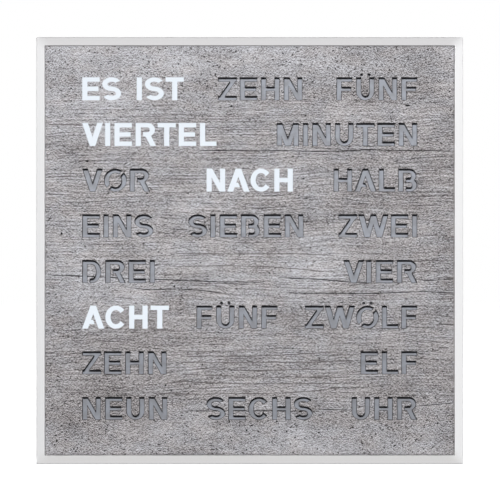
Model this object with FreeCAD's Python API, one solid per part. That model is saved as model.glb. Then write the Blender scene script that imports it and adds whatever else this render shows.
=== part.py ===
import FreeCAD, Part
import math
import os

os.makedirs("parts", exist_ok=True)

# A wall clock that tells the time in lit words. A one-piece frame carries a thin stencilled stone face.
# Behind it lie a diffuser, a baffle with one cell for each word, a lamp board and a control board.
# Millimetres. +X is right and +Z is up as the face is read, and +Y runs from the face to the wall.
# The origin is under the middle of the clock, at the height of the surface that it stands on.
# A depth is measured from the front of the frame towards the wall.

# ---- frame ----
clock_width = 300.0
clock_height = 300.0
frame_depth = 32.0             # from the front of the frame to its back edge
frame_border = 6.0             # width of the frame seen around the face
frame_edge_radius = 0.8        # outer edges
frame_lip_radius = 0.4         # front edge of the opening
ledge_width = 16.0             # inner ledge that the face is glued to
ledge_thickness = 3.0

# ---- stack from the face to the lamp board ----
face_setback = 0.8             # the face lies this far behind the frame's front
face_thickness = 3.0
face_gap = 0.3                 # around the face, inside the frame
diffuser_thickness = 1.0
baffle_fit = 0.3               # around the baffle and the diffuser, inside the ledge
baffle_rim = 3.0               # outer wall of the baffle
partition = 3.0                # walls between its cells
lamp_board_thickness = 1.6
lamp_board_margin = 2.0        # board beyond its posts
lamp_size = 3.5
lamp_height = 1.5

# ---- lettering ----
cap_height = 15.75
stem = 3.2                     # upright strokes
bar = 2.7                      # level strokes
slant = 3.6                    # width of a slanted stroke, measured level
bridge = 2.0                   # stencil bridges
dot_radius = 0.8
dot_spread = 5.2               # between the two dots of an umlaut
dot_rise = 1.9                 # from the cap line to the dots' centres
text_top_margin = 28.4         # from the clock's top to the first cap line
text_bottom_margin = 31.15     # from the clock's bottom to the last base line
text_side_margin = 32.5        # from the clock's side to the words
word_space = 11.4
c_mouth_angle = 40.0           # degrees above and below level that the C is open
s_mouth_angle = 24.0           # degrees above level where the upper end of the S lies

# White space beside an upright stem, an open side, a round side, a bare arm and a slanted stroke.
stem_space = 1.7
open_space = 1.4
round_space = 0.9
bare_space = 0.8
slant_space = 0.35

# Width of each letter, and the white space on its left and right.
letter_sizes = {
    "A": (15.0, slant_space, slant_space), "B": (12.9, stem_space, open_space), "C": (13.6, round_space, open_space),
    "D": (12.8, stem_space, stem_space), "E": (11.8, stem_space, open_space), "F": (10.7, stem_space, open_space),
    "H": (12.6, stem_space, stem_space), "I": (stem, stem_space, stem_space), "L": (11.2, stem_space, bare_space),
    "M": (15.0, stem_space, stem_space), "N": (12.6, stem_space, stem_space), "O": (15.5, round_space, round_space),
    "Ö": (15.5, round_space, round_space), "R": (13.8, stem_space, bare_space), "S": (12.8, round_space, round_space),
    "T": (12.4, bare_space, bare_space), "U": (12.4, stem_space, stem_space), "Ü": (12.4, stem_space, stem_space),
    "V": (14.0, slant_space, slant_space), "W": (20.8, slant_space, slant_space), "Z": (12.8, bare_space, bare_space),
}

# Rows of words from the top. A word stands at the left or right margin, follows the word before it,
# lies half-way between its neighbours, or is centred on the clock. The last value says if it is lit.
word_rows = (
    (("ES", "left", True), ("IST", "next", True), ("ZEHN", "between", False), ("FÜNF", "right", False)),
    (("VIERTEL", "left", True), ("MINUTEN", "right", False)),
    (("VOR", "left", False), ("NACH", "centre", True), ("HALB", "right", False)),
    (("EINS", "left", False), ("SIEBEN", "between", False), ("ZWEI", "right", False)),
    (("DREI", "left", False), ("VIER", "right", False)),
    (("ACHT", "left", True), ("FÜNF", "between", False), ("ZWÖLF", "right", False)),
    (("ZEHN", "left", False), ("ELF", "right", False)),
    (("NEUN", "left", False), ("SECHS", "between", False), ("UHR", "right", False)),
)

# ---- posts and screws ----
board_post_radius = 3.2
board_post_gap = 0.5           # between the baffle's ledge and the board posts
board_post_spacing = 150.0     # between the two posts of each side
cover_post_radius = 4.5
cover_post_bite = 0.5          # how far a cover post is let into the frame's wall
cover_post_spacing = 100.0     # between the two middle posts of the top and of the bottom
board_notch_gap = 0.5          # around a cover post, in the lamp board
pilot_gap = 0.05               # between a screw's shank and its pilot hole
shank_gap = 0.3                # between a screw's shank and its clearance hole
tip_gap = 0.6                  # under the tip of a screw
small_shank_radius = 1.2       # board and hanger screws
small_head_radius = 2.3
board_head_height = 1.2
board_screw_reach = 7.0
cover_shank_radius = 1.4
cover_head_radius = 2.8
cover_head_height = 1.6
cover_screw_reach = 9.0

# ---- control board ----
standoff_height = 2.5
standoff_radius = 2.75
control_width = 120.0
control_height = 62.0
control_thickness = 1.6
control_screw_inset = 5.0
chip_height = 1.4
lead_pitch = 1.27
lead_width = 0.4
lead_reach = 0.9
controller_size = 10.0
driver_width = 7.5
driver_length = 10.0
driver_spacing = 17.0
crystal_length = 11.0
crystal_width = 4.6
crystal_height = 3.5
capacitor_radius = 3.15
capacitor_height = 5.4
capacitor_base = 6.6
capacitor_base_height = 0.8
capacitor_spacing = 10.0
header_length = 15.2
header_width = 2.5
board_clearance = 0.5          # between the control board and the cover's walls
inlet_clearance = 0.5          # between the power inlet, the tallest piece, and the cover

# ---- power inlet ----
inlet_width = 9.0
inlet_height = 7.0
inlet_length = 13.0
inlet_nose_radius = 3.4
inlet_nose_gap = 0.3
inlet_bore_radius = 2.8
inlet_bore_depth = 9.5
inlet_pin_radius = 1.0
inlet_pin_setback = 1.0        # from the mouth to the pin's tip
channel_width = 14.0           # channel for the plug and its lead
channel_top = 46.0             # height of the channel's upper end
channel_wall = 1.2
channel_clearance = 0.8        # between the channel and the lamp board

# ---- rear cover ----
rim_height = 2.0               # the frame's rim stands this far behind the cover
cover_thickness = 2.0
cover_gap = 0.4
hanger_spacing = 200.0         # between the two keyholes
hanger_drop = 45.0             # from the clock's top to the keyholes
hanger_width = 20.0
hanger_thickness = 1.2
keyhole_radius = 4.5
keyhole_slot_radius = 2.3
keyhole_length = 9.0           # from the entry's centre to the slot's end centre
pocket_depth = 4.0
pocket_room = 1.0              # around the keyhole, in the pocket behind it
pocket_wall = 1.2
hanger_screw_reach = 4.5
hanger_head_height = 0.7
hanger_boss_radius = 3.0
hanger_boss_floor = 0.8
hanger_end = 3.5               # plate beyond its screws
pad_radius = 6.0
pad_inset = 12.0               # from the frame's wall to a pad's centre
pad_proud = 0.5                # the pads stand this far behind the frame

# ---- buttons ----
button_travel = 0.5
button_radius = 3.0
button_proud = 0.8
button_gap = 0.3
flange_radius = 4.2
flange_thickness = 1.0
flange_gap = 0.1
button_spacing = 15.0
button_inset = 8.0             # from the control board's side to the last button
button_rise = 15.0             # above the control board's middle
button_edge_radius = 0.3
switch_size = 6.0
switch_height = 3.5
plunger_radius = 1.7
plunger_gap = 0.1
plunger_engagement = 1.3       # length of the plunger inside its switch
switch_floor_gap = 0.2         # left under the plunger when it is pressed

# ---- backup cell and its door ----
cell_radius = 10.0
cell_thickness = 3.2
cell_fit = 0.2
holder_side_wall = 2.8
holder_end_wall = 1.8
holder_floor = 0.8
holder_rim = 2.8
clip_width = 5.0
clip_thickness = 0.3
clip_gap = 0.4                 # between the holder's side and the clip's leg
cell_inset = 25.0              # from the control board's side to the cell's middle
cell_rise = 2.0                # above the control board's middle
finger_room = 4.0              # around the holder, inside the door's opening
door_gap = 0.3
bay_wall = 1.2
barrel_radius = 1.4
hinge_pin_radius = 0.8
hinge_running_gap = 0.05
door_rest_height = 1.5
door_rest_thickness = 1.2
door_rest_gap = 0.1
nib_width = 6.0
nib_reach = 0.2
nib_thickness = 0.8
scoop_radius = 6.0
scoop_depth = 1.2

# ---- what follows from the sizes above ----
# The face and the diffuser are stacked from the front, the cover and the boards from the back, and
# the baffle fills the depth that is left between them.
middle_z = clock_height / 2
opening_width = clock_width - 2 * frame_border
opening_height = clock_height - 2 * frame_border
ledge_opening_width = opening_width - 2 * ledge_width
ledge_opening_height = opening_height - 2 * ledge_width

face_back = face_setback + face_thickness
ledge_back = face_back + ledge_thickness
diffuser_back = face_back + diffuser_thickness

total_depth = frame_depth + pad_proud
cover_back = frame_depth - rim_height
cover_front = cover_back - cover_thickness
control_back = cover_front - inlet_clearance - inlet_height
control_front = control_back - control_thickness
lamp_board_back = control_front - standoff_height
baffle_back = lamp_board_back - lamp_board_thickness
baffle_depth = baffle_back - diffuser_back
channel_floor = lamp_board_back + channel_clearance + channel_wall
inlet_axis_depth = control_back + inlet_height / 2

control_bottom = channel_top + channel_wall + board_clearance
control_middle = control_bottom + control_height / 2
cell_x = cell_inset - control_width / 2
cell_z = control_middle + cell_rise
button_z = control_middle + button_rise
first_button_x = control_width / 2 - button_inset - 2 * button_spacing
holder_width = 2 * (cell_radius + cell_fit + holder_side_wall)
holder_height = 2 * (cell_radius + cell_fit + holder_end_wall)
door_opening_width = holder_width + 2 * finger_room
door_opening_height = holder_height + 2 * finger_room
holder_back = control_back + holder_floor + holder_rim
cell_front = control_back + holder_floor
cell_back = cell_front + cell_thickness
plunger_tip = cover_front - flange_gap - flange_thickness
switch_back = control_back + switch_height

board_post_x = ledge_opening_width / 2 + board_post_gap + board_post_radius
board_post_z = ledge_opening_height / 2 + board_post_gap + board_post_radius
cover_post_x = opening_width / 2 - cover_post_radius + cover_post_bite
cover_post_z = opening_height / 2 - cover_post_radius + cover_post_bite
keyhole_z = clock_height - hanger_drop
hanger_screw_step = pocket_room + pocket_wall + small_shank_radius + pilot_gap + shank_gap
hanger_low_screw_z = keyhole_z - keyhole_radius - hanger_screw_step
hanger_high_screw_z = keyhole_z + keyhole_length + keyhole_radius + hanger_screw_step
hinge_depth = cover_back - barrel_radius
hinge_z = cell_z + door_opening_height / 2 - door_gap - barrel_radius


def at(x, depth, z):
    return FreeCAD.Vector(x, depth - total_depth / 2, z)


def block(x0, x1, depth0, depth1, z0, z1):
    return Part.makeBox(x1 - x0, depth1 - depth0, z1 - z0, at(x0, depth0, z0))


def slab(x, z, width, height, depth0, depth1):
    return block(x - width / 2, x + width / 2, depth0, depth1, z - height / 2, z + height / 2)


def rod(radius, x, z, depth0, depth1):
    return Part.makeCylinder(radius, depth1 - depth0, at(x, depth0, z), FreeCAD.Vector(0, 1, 0))


def join(shapes):
    return shapes[0].multiFuse(shapes[1:]).removeSplitter() if len(shapes) > 1 else shapes[0]


def level_edges(shape, depth, reach_x, reach_z):
    """Edges at one depth that lie within the given reach of the clock's middle."""
    y = at(0, depth, 0).y
    found = []
    for edge in shape.Edges:
        box = edge.BoundBox
        flat = abs(box.YMin - y) < 0.01 and abs(box.YMax - y) < 0.01
        inside = max(-box.XMin, box.XMax) < reach_x and abs(box.Center.z - middle_z) < reach_z
        if flat and inside:
            found.append(edge)
    return found


def save(node, *shapes):
    solids = [solid for shape in shapes for solid in shape.Solids]
    whole = solids[0] if len(solids) == 1 else Part.makeCompound(solids)
    whole.exportStep("parts/" + node + ".step")
    volume = sum(solid.Volume for solid in solids)
    print(f"{node}: {len(solids)} solids, {volume:.1f} mm3, valid {whole.isValid()}")


# ---- letters: flat shapes with u to the right of the letter's left side and v above the base line ----
def outline(*points):
    corners = [FreeCAD.Vector(u, 0, v) for u, v in points]
    return Part.Face(Part.makePolygon(corners + corners[:1]))


def stroke(u0, v0, u1, v1):
    return outline((u0, v0), (u1, v0), (u1, v1), (u0, v1))


def leaning(u_bottom, u_top, v0, v1, width):
    return outline((u_bottom, v0), (u_bottom + width, v0), (u_top + width, v1), (u_top, v1))


def oval(u, v, radius_u, radius_v):
    centre = FreeCAD.Vector(u, 0, v)
    across = centre + FreeCAD.Vector(radius_u, 0, 0)
    upward = centre + FreeCAD.Vector(0, 0, radius_v)
    ellipse = Part.Ellipse(across, upward, centre) if radius_u >= radius_v else Part.Ellipse(upward, across, centre)
    return Part.Face(Part.Wire(ellipse.toShape()))


def ring(u, v, radius_u, radius_v):
    return oval(u, v, radius_u, radius_v).cut(oval(u, v, radius_u - stem, radius_v - bar))


def wedge(u, v, start, end):
    """Triangle from a point out to two directions in degrees, far past the letter."""
    reach = 4 * cap_height
    rays = [(u + reach * math.cos(math.radians(a)), v + reach * math.sin(math.radians(a))) for a in (start, end)]
    return outline((u, v), *rays)


def bowl(u_right, v0, v1, radius_u):
    """Right half of a ring between two heights, its right side at u_right."""
    u, v, radius_v = u_right - radius_u, (v0 + v1) / 2, (v1 - v0) / 2
    return ring(u, v, radius_u, radius_v).cut(stroke(u - radius_u - 1, v0 - 1, u, v1 + 1))


def letter_a(w):
    half = (w - slant) / 2
    low, high = 0.2 * cap_height, 0.2 * cap_height + bar

    def inner(v):
        return slant + half * v / cap_height

    cross = outline((inner(low) - stem / 2, low), (w - inner(low) - bridge, low),
                    (w - inner(high) - bridge, high), (inner(high) - stem / 2, high))
    return [leaning(0, half, 0, cap_height, slant), leaning(w - slant, half, 0, cap_height, slant), cross]


def letter_b(w):
    low, high = (cap_height - bar) / 2, (cap_height + bar) / 2
    curve, top_right = 0.36 * w, 0.95 * w
    return [stroke(0, 0, stem, cap_height), stroke(0, cap_height - bar, top_right - curve, cap_height),
            stroke(stem + bridge, low, top_right - curve, high), stroke(stem + bridge, 0, w - curve, bar),
            bowl(top_right, low, cap_height, curve), bowl(w, 0, high, curve)]


def letter_c(w):
    whole = ring(w / 2 + 0.03 * w, cap_height / 2, w / 2 + 0.03 * w, cap_height / 2)
    return [whole.cut(wedge(w / 2, cap_height / 2, -c_mouth_angle, c_mouth_angle))]


def letter_d(w):
    curve = 0.5 * w
    return [stroke(0, 0, stem, cap_height), stroke(0, cap_height - bar, w - curve, cap_height),
            stroke(stem + bridge, 0, w - curve, bar), bowl(w, 0, cap_height, curve)]


def letter_e(w):
    middle = (cap_height - bar) / 2
    return [stroke(0, 0, stem, cap_height), stroke(0, 0, w, bar), stroke(0, middle, 0.93 * w, middle + bar),
            stroke(0, cap_height - bar, w, cap_height)]


def letter_f(w):
    middle = 0.41 * cap_height
    return [stroke(0, 0, stem, cap_height), stroke(0, middle, 0.93 * w, middle + bar),
            stroke(0, cap_height - bar, w, cap_height)]


def letter_h(w):
    middle = (cap_height - bar) / 2
    return [stroke(0, 0, stem, cap_height), stroke(w - stem, 0, w, cap_height), stroke(0, middle, w, middle + bar)]


def letter_i(w):
    return [stroke(0, 0, w, cap_height)]


def letter_l(w):
    return [stroke(0, 0, stem, cap_height), stroke(0, 0, w, bar)]


def letter_m(w):
    foot = (w - slant) / 2
    return [stroke(0, 0, stem, cap_height), stroke(w - stem, 0, w, cap_height),
            leaning(foot, 0, 0, cap_height, slant), leaning(foot, w - slant, 0, cap_height, slant)]


def letter_n(w):
    return [stroke(0, 0, stem, cap_height), stroke(w - stem, 0, w, cap_height),
            leaning(w - slant, 0, 0, cap_height, slant)]


def letter_o(w):
    """A ring in two halves, parted by a bridge at the upper right and the lower left."""
    lean = math.radians(48)
    along = (3 * w * math.cos(lean), 3 * w * math.sin(lean))
    side = (bridge / 2 * math.sin(lean), -bridge / 2 * math.cos(lean))
    middle = (w / 2, cap_height / 2)
    corners = [(middle[0] + a * along[0] + b * side[0], middle[1] + a * along[1] + b * side[1])
               for a, b in ((-1, -1), (1, -1), (1, 1), (-1, 1))]
    return [ring(*middle, w / 2, cap_height / 2).cut(outline(*corners))]


def letter_r(w):
    waist = 0.42 * cap_height
    curve, right = 0.36 * w, 0.95 * w
    return [stroke(0, 0, stem, cap_height), stroke(0, cap_height - bar, right - curve, cap_height),
            stroke(stem + bridge, waist, right - curve, waist + bar), bowl(right, waist, cap_height, curve),
            leaning(w - slant, 0.45 * w, 0, waist + bar / 2, slant)]


def letter_s(w):
    """Two open bowls, the lower one being the upper one turned half round."""
    rise = (cap_height - bar) / 4
    centre_v = cap_height / 2 + rise
    upper = ring(w / 2, centre_v, w / 2, rise + bar / 2).cut(wedge(w / 2, centre_v, -90, s_mouth_angle))
    lower = upper.copy()
    lower.rotate(FreeCAD.Vector(w / 2, 0, cap_height / 2), FreeCAD.Vector(0, 1, 0), 180)
    return [upper, lower]


def letter_t(w):
    return [stroke(0, cap_height - bar, w, cap_height), stroke((w - stem) / 2, 0, (w + stem) / 2, cap_height)]


def letter_u(w):
    turn = w / 2
    cup = ring(w / 2, turn, w / 2, turn).cut(stroke(-1, turn, w + 1, 2 * cap_height))
    return [stroke(0, turn, stem, cap_height), stroke(w - stem, turn, w, cap_height), cup]


def letter_v(w):
    foot = (w - slant) / 2
    return [leaning(foot, 0, 0, cap_height, slant), leaning(foot, w - slant, 0, cap_height, slant)]


def letter_w(w):
    left_foot, right_foot, peak = 0.25 * (w - slant), 0.75 * (w - slant), (w - slant) / 2
    return [leaning(left_foot, 0, 0, cap_height, slant), leaning(left_foot, peak, 0, cap_height, slant),
            leaning(right_foot, peak, 0, cap_height, slant), leaning(right_foot, w - slant, 0, cap_height, slant)]


def letter_z(w):
    return [stroke(0, 0, w, bar), stroke(0, cap_height - bar, w, cap_height),
            leaning(0, w - slant, bar / 2, cap_height - bar / 2, slant)]


letter_shapes = {
    "A": letter_a, "B": letter_b, "C": letter_c, "D": letter_d, "E": letter_e, "F": letter_f, "H": letter_h,
    "I": letter_i, "L": letter_l, "M": letter_m, "N": letter_n, "O": letter_o, "Ö": letter_o, "R": letter_r,
    "S": letter_s, "T": letter_t, "U": letter_u, "Ü": letter_u, "V": letter_v, "W": letter_w, "Z": letter_z,
}


def disc(u, v, radius):
    return Part.Face(Part.Wire(Part.Circle(FreeCAD.Vector(u, 0, v), FreeCAD.Vector(0, 1, 0), radius).toShape()))


def letter_wires(letter):
    """Outlines of a letter's openings, taken from the front of a thick copy of it."""
    width = letter_sizes[letter][0]
    shapes = letter_shapes[letter](width)
    if letter in "ÖÜ":
        shapes += [disc(width / 2 + side * dot_spread / 2, cap_height + dot_rise, dot_radius) for side in (-1, 1)]
    thick = join([face.extrude(FreeCAD.Vector(0, 1, 0)) for shape in shapes for face in shape.Faces])
    return [face.OuterWire for face in thick.Faces if face.BoundBox.YMax < 0.01]


# ---- where the words stand ----
def word_letters(word):
    """Each letter of a word with its left side, counted from the word's left side, and the word's width."""
    u, placed = 0.0, []
    for index, letter in enumerate(word):
        width, before, after = letter_sizes[letter]
        u += before if index else 0.0
        placed.append((letter, u))
        u += width + (after if index < len(word) - 1 else 0.0)
    return placed, u


def place_row(row):
    """Each word of one row with its left side, its width and whether it is lit."""
    margin = clock_width / 2 - text_side_margin
    widths = [word_letters(word)[1] for word, place, lit in row]
    starts = [None] * len(row)
    for index, (word, place, lit) in enumerate(row):
        if place == "left":
            starts[index] = -margin
        elif place == "right":
            starts[index] = margin - widths[index]
        elif place == "centre":
            starts[index] = -widths[index] / 2
        elif place == "next":
            starts[index] = starts[index - 1] + widths[index - 1] + word_space
    for index, (word, place, lit) in enumerate(row):
        if place == "between":
            free_from = starts[index - 1] + widths[index - 1]
            starts[index] = (free_from + starts[index + 1] - widths[index]) / 2
    return list(zip([entry[0] for entry in row], starts, widths, [entry[2] for entry in row]))


first_base = clock_height - text_top_margin - cap_height
row_pitch = (first_base - text_bottom_margin) / (len(word_rows) - 1)
words = []                     # word, left side, width, base line, lit
for row_number, row in enumerate(word_rows):
    base_line = first_base - row_number * row_pitch
    words += [(word, start, width, base_line, lit) for word, start, width, lit in place_row(row)]


def cell_walls():
    """Left, right, lower and upper side of each word's cell. Partitions run half-way between words and rows."""
    side = ledge_opening_width / 2 - baffle_fit - baffle_rim
    end = ledge_opening_height / 2 - baffle_fit - baffle_rim
    cells = []
    for row_number, row in enumerate(word_rows):
        placed = place_row(row)
        between_rows = first_base - row_number * row_pitch - (row_pitch - cap_height) / 2
        bottom = middle_z - end if row_number == len(word_rows) - 1 else between_rows + partition / 2
        top = middle_z + end if row_number == 0 else between_rows + row_pitch - partition / 2
        splits = [(placed[i][1] + placed[i][2] + placed[i + 1][1]) / 2 for i in range(len(row) - 1)]
        lefts = [-side] + [split + partition / 2 for split in splits]
        rights = [split - partition / 2 for split in splits] + [side]
        cells += [(left, right, bottom, top) for left, right in zip(lefts, rights)]
    return cells


# ---- where the screws stand ----
board_post_places = [(side * board_post_x, middle_z + end * board_post_spacing / 2)
                     for side in (-1, 1) for end in (-1, 1)]
board_post_places += [(end * board_post_spacing / 2, middle_z + side * board_post_z)
                      for side in (-1, 1) for end in (-1, 1)]
cover_post_places = [(i * cover_post_x, middle_z + j * cover_post_z) for i in (-1, 1) for j in (-1, 0, 1)]
cover_post_places += [(end * cover_post_spacing / 2, middle_z + side * cover_post_z)
                      for side in (-1, 1) for end in (-1, 1)]
control_screw_places = [(i * (control_width / 2 - control_screw_inset),
                         control_middle + j * (control_height / 2 - control_screw_inset))
                        for i in (-1, 1) for j in (-1, 1)]
hanger_places = [side * hanger_spacing / 2 for side in (-1, 1)]
hanger_screw_places = [(x, z) for x in hanger_places for z in (hanger_low_screw_z, hanger_high_screw_z)]
button_places = [first_button_x + number * button_spacing for number in range(3)]
pad_places = [(i * (opening_width / 2 - pad_inset), middle_z + j * (opening_height / 2 - pad_inset))
              for i in (-1, 1) for j in (-1, 1)]


def screw(x, z, shank_radius, reach, head_radius, head_height, seat):
    """Pan-head screw driven towards the face, its head on the seat, with a cross recess."""
    head = rod(head_radius, x, z, seat, seat + head_height)
    rim = [edge for edge in head.Edges if abs(edge.BoundBox.YMin - at(0, seat + head_height, 0).y) < 0.01]
    head = head.makeFillet(min(head_radius, head_height) * 0.5, rim)
    for width, height in ((head_radius, head_radius / 4), (head_radius / 4, head_radius)):
        head = head.cut(slab(x, z, width, height, seat + head_height / 2, seat + head_height + 1))
    return head.fuse(rod(shank_radius, x, z, seat - reach, seat))


# ---- frame and face ----
def make_frame():
    shell = block(-clock_width / 2, clock_width / 2, 0, frame_depth, 0, clock_height)
    shell = shell.makeFillet(frame_edge_radius, shell.Edges)
    shell = shell.cut(slab(0, middle_z, opening_width, opening_height, -1, frame_depth + 1))
    lip = level_edges(shell, 0, opening_width / 2 + 0.1, opening_height / 2 + 0.1)
    shell = shell.makeFillet(frame_lip_radius, lip)
    ledge = slab(0, middle_z, opening_width, opening_height, face_back, ledge_back)
    ledge = ledge.cut(slab(0, middle_z, ledge_opening_width, ledge_opening_height, face_back - 1, ledge_back + 1))
    short_posts = [rod(board_post_radius, x, z, ledge_back, baffle_back) for x, z in board_post_places]
    tall_posts = [rod(cover_post_radius, x, z, ledge_back, cover_front) for x, z in cover_post_places]
    frame = join([shell, ledge] + short_posts + tall_posts)
    holes = [rod(small_shank_radius + pilot_gap, x, z, lamp_board_back - board_screw_reach - tip_gap, baffle_back + 1)
             for x, z in board_post_places]
    holes += [rod(cover_shank_radius + pilot_gap, x, z, cover_back - cover_screw_reach - tip_gap, cover_front + 1)
              for x, z in cover_post_places]
    notch = block(-channel_width / 2, channel_width / 2, channel_floor, frame_depth + 1, -1, frame_border + 1)
    return frame.cut(holes + [notch])


def make_face_panel():
    width, height = opening_width - 2 * face_gap, opening_height - 2 * face_gap
    low, side = middle_z - height / 2, width / 2
    wires = [outline((-side, low), (side, low), (side, low + height), (-side, low + height)).OuterWire]
    cuts = {letter: letter_wires(letter) for letter in letter_shapes}
    for word, start, word_width, base, lit in words:
        for letter, u in word_letters(word)[0]:
            for wire in cuts[letter]:
                copy = wire.copy()
                copy.translate(FreeCAD.Vector(start + u, 0, base))
                wires.append(copy)
    face = Part.makeFace(wires, "Part::FaceMakerBullseye")
    face.translate(at(0, face_setback, 0))
    return face.extrude(FreeCAD.Vector(0, face_thickness, 0))


def make_baffle():
    width, height = ledge_opening_width - 2 * baffle_fit, ledge_opening_height - 2 * baffle_fit
    low, side = middle_z - height / 2, width / 2
    wires = [outline((-side, low), (side, low), (side, low + height), (-side, low + height)).OuterWire]
    for left, right, bottom, top in cell_walls():
        wires.append(outline((left, bottom), (right, bottom), (right, top), (left, top)).OuterWire)
    face = Part.makeFace(wires, "Part::FaceMakerBullseye")
    face.translate(at(0, diffuser_back, 0))
    return face.extrude(FreeCAD.Vector(0, baffle_depth, 0))


def make_lamps(wanted):
    lamps = []
    for word, start, word_width, base, lit in words:
        if lit != wanted:
            continue
        for letter, u in word_letters(word)[0]:
            x = start + u + letter_sizes[letter][0] / 2
            lamps.append(slab(x, base + cap_height / 2, lamp_size, lamp_size, baffle_back - lamp_height, baffle_back))
    return lamps


def make_lamp_board():
    width = 2 * (board_post_x + board_post_radius + lamp_board_margin)
    height = 2 * (board_post_z + board_post_radius + lamp_board_margin)
    board = slab(0, middle_z, width, height, baffle_back, lamp_board_back)
    cuts = [rod(small_shank_radius + shank_gap, x, z, baffle_back - 1, lamp_board_back + 1)
            for x, z in board_post_places]
    cuts += [rod(cover_post_radius + board_notch_gap, x, z, baffle_back - 1, lamp_board_back + 1)
             for x, z in cover_post_places]
    return board.cut(cuts)


# ---- control board and what stands on it ----
def make_control_board():
    board = slab(0, control_middle, control_width, control_height, control_front, control_back)
    return board.cut([rod(small_shank_radius + shank_gap, x, z, control_front - 1, control_back + 1)
                      for x, z in control_screw_places])


def make_standoffs():
    tubes = []
    for x, z in control_screw_places:
        bore = rod(small_shank_radius + pilot_gap, x, z, lamp_board_back - 1, control_front + 1)
        tubes.append(rod(standoff_radius, x, z, lamp_board_back, control_front).cut(bore))
    return tubes


def chip(x, z, width, height, thickness):
    """Flat package with a row of leads along its left and right sides."""
    package = slab(x, z, width, height, control_back, control_back + thickness)
    lead_count = int(height / lead_pitch - 0.5)
    first = z - lead_pitch * (lead_count - 1) / 2
    leads = [slab(x, first + lead_pitch * number, width + 2 * lead_reach, lead_width,
                  control_back, control_back + thickness / 3) for number in range(lead_count)]
    return join([package] + leads)


def make_crystal():
    can = slab(0, control_middle + control_height / 4, crystal_length, crystal_width,
               control_back, control_back + crystal_height)
    upright = [edge for edge in can.Edges if edge.BoundBox.YLength > crystal_height / 2]
    return can.makeFillet(crystal_width * 0.45, upright)


def make_capacitors():
    cans = []
    for number in (1, 2):
        x = inlet_width / 2 + number * capacitor_spacing
        z = control_bottom + capacitor_base + board_clearance
        base = slab(x, z, capacitor_base, capacitor_base, control_back, control_back + capacitor_base_height)
        can = rod(capacitor_radius, x, z, control_back + capacitor_base_height, control_back + capacitor_height)
        cans.append(base.fuse(can))
    return cans


def make_header():
    return slab(0, control_middle + control_height / 2 - 2 * header_width, header_length, header_width,
                lamp_board_back, control_front)


def lying_rod(radius, z0, z1):
    """Rod along +Z on the power inlet's axis."""
    return Part.makeCylinder(radius, z1 - z0, at(0, inlet_axis_depth, z0))


def make_inlet():
    mouth = channel_top
    body = block(-inlet_width / 2, inlet_width / 2, control_back, control_back + inlet_height,
                 control_bottom, control_bottom + inlet_length)
    nose = lying_rod(inlet_nose_radius, mouth, control_bottom + 1)
    return join([body, nose]).cut(lying_rod(inlet_bore_radius, mouth - 1, mouth + inlet_bore_depth))


def make_inlet_pin():
    return lying_rod(inlet_pin_radius, channel_top + inlet_pin_setback, channel_top + inlet_bore_depth)


# ---- buttons ----
def make_switch_body(x):
    body = slab(x, button_z, switch_size, switch_size, control_back, switch_back)
    floor = switch_back - plunger_engagement - button_travel - switch_floor_gap
    return body.cut(rod(plunger_radius + plunger_gap, x, button_z, floor, switch_back + 1))


def make_plunger(x):
    return rod(plunger_radius, x, button_z, switch_back - plunger_engagement, plunger_tip)


def make_button(x):
    flange = rod(flange_radius, x, button_z, plunger_tip, plunger_tip + flange_thickness)
    cap = rod(button_radius, x, button_z, plunger_tip + flange_thickness, cover_back + button_proud)
    end = at(0, cover_back + button_proud, 0).y
    cap = cap.makeFillet(button_edge_radius, [edge for edge in cap.Edges if abs(edge.BoundBox.YMin - end) < 0.01])
    return join([flange, cap])


# ---- backup cell ----
def make_cell_holder():
    body = slab(cell_x, cell_z, holder_width, holder_height, control_back, holder_back)
    return body.cut(rod(cell_radius + cell_fit, cell_x, cell_z, cell_front, holder_back + 1))


def make_cell():
    can = rod(cell_radius, cell_x, cell_z, cell_front, cell_back)
    ends = [edge for edge in can.Edges if edge.BoundBox.YLength < 0.01 and edge.BoundBox.XLength > cell_radius]
    return can.makeFillet(cell_thickness / 10, ends)


def make_cell_clip():
    """Spring strip from the board, up the holder's side and over the cell."""
    outer_x = cell_x - holder_width / 2 - clip_gap - clip_thickness
    top = block(outer_x, cell_x, cell_back, cell_back + clip_thickness, cell_z - clip_width / 2, cell_z + clip_width / 2)
    leg = block(outer_x, outer_x + clip_thickness, control_back, cell_back,
                cell_z - clip_width / 2, cell_z + clip_width / 2)
    return join([top, leg])


# ---- rear cover ----
def hinge_rod(radius, half_length):
    return Part.makeCylinder(radius, 2 * half_length, at(cell_x - half_length, hinge_depth, hinge_z),
                             FreeCAD.Vector(1, 0, 0))


def keyhole_pocket(x, growth, depth0, depth1):
    low = keyhole_z - keyhole_radius - pocket_room - growth
    high = keyhole_z + keyhole_length + keyhole_radius + pocket_room + growth
    reach = keyhole_radius + pocket_room + growth
    return block(x - reach, x + reach, depth0, depth1, low, high)


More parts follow.
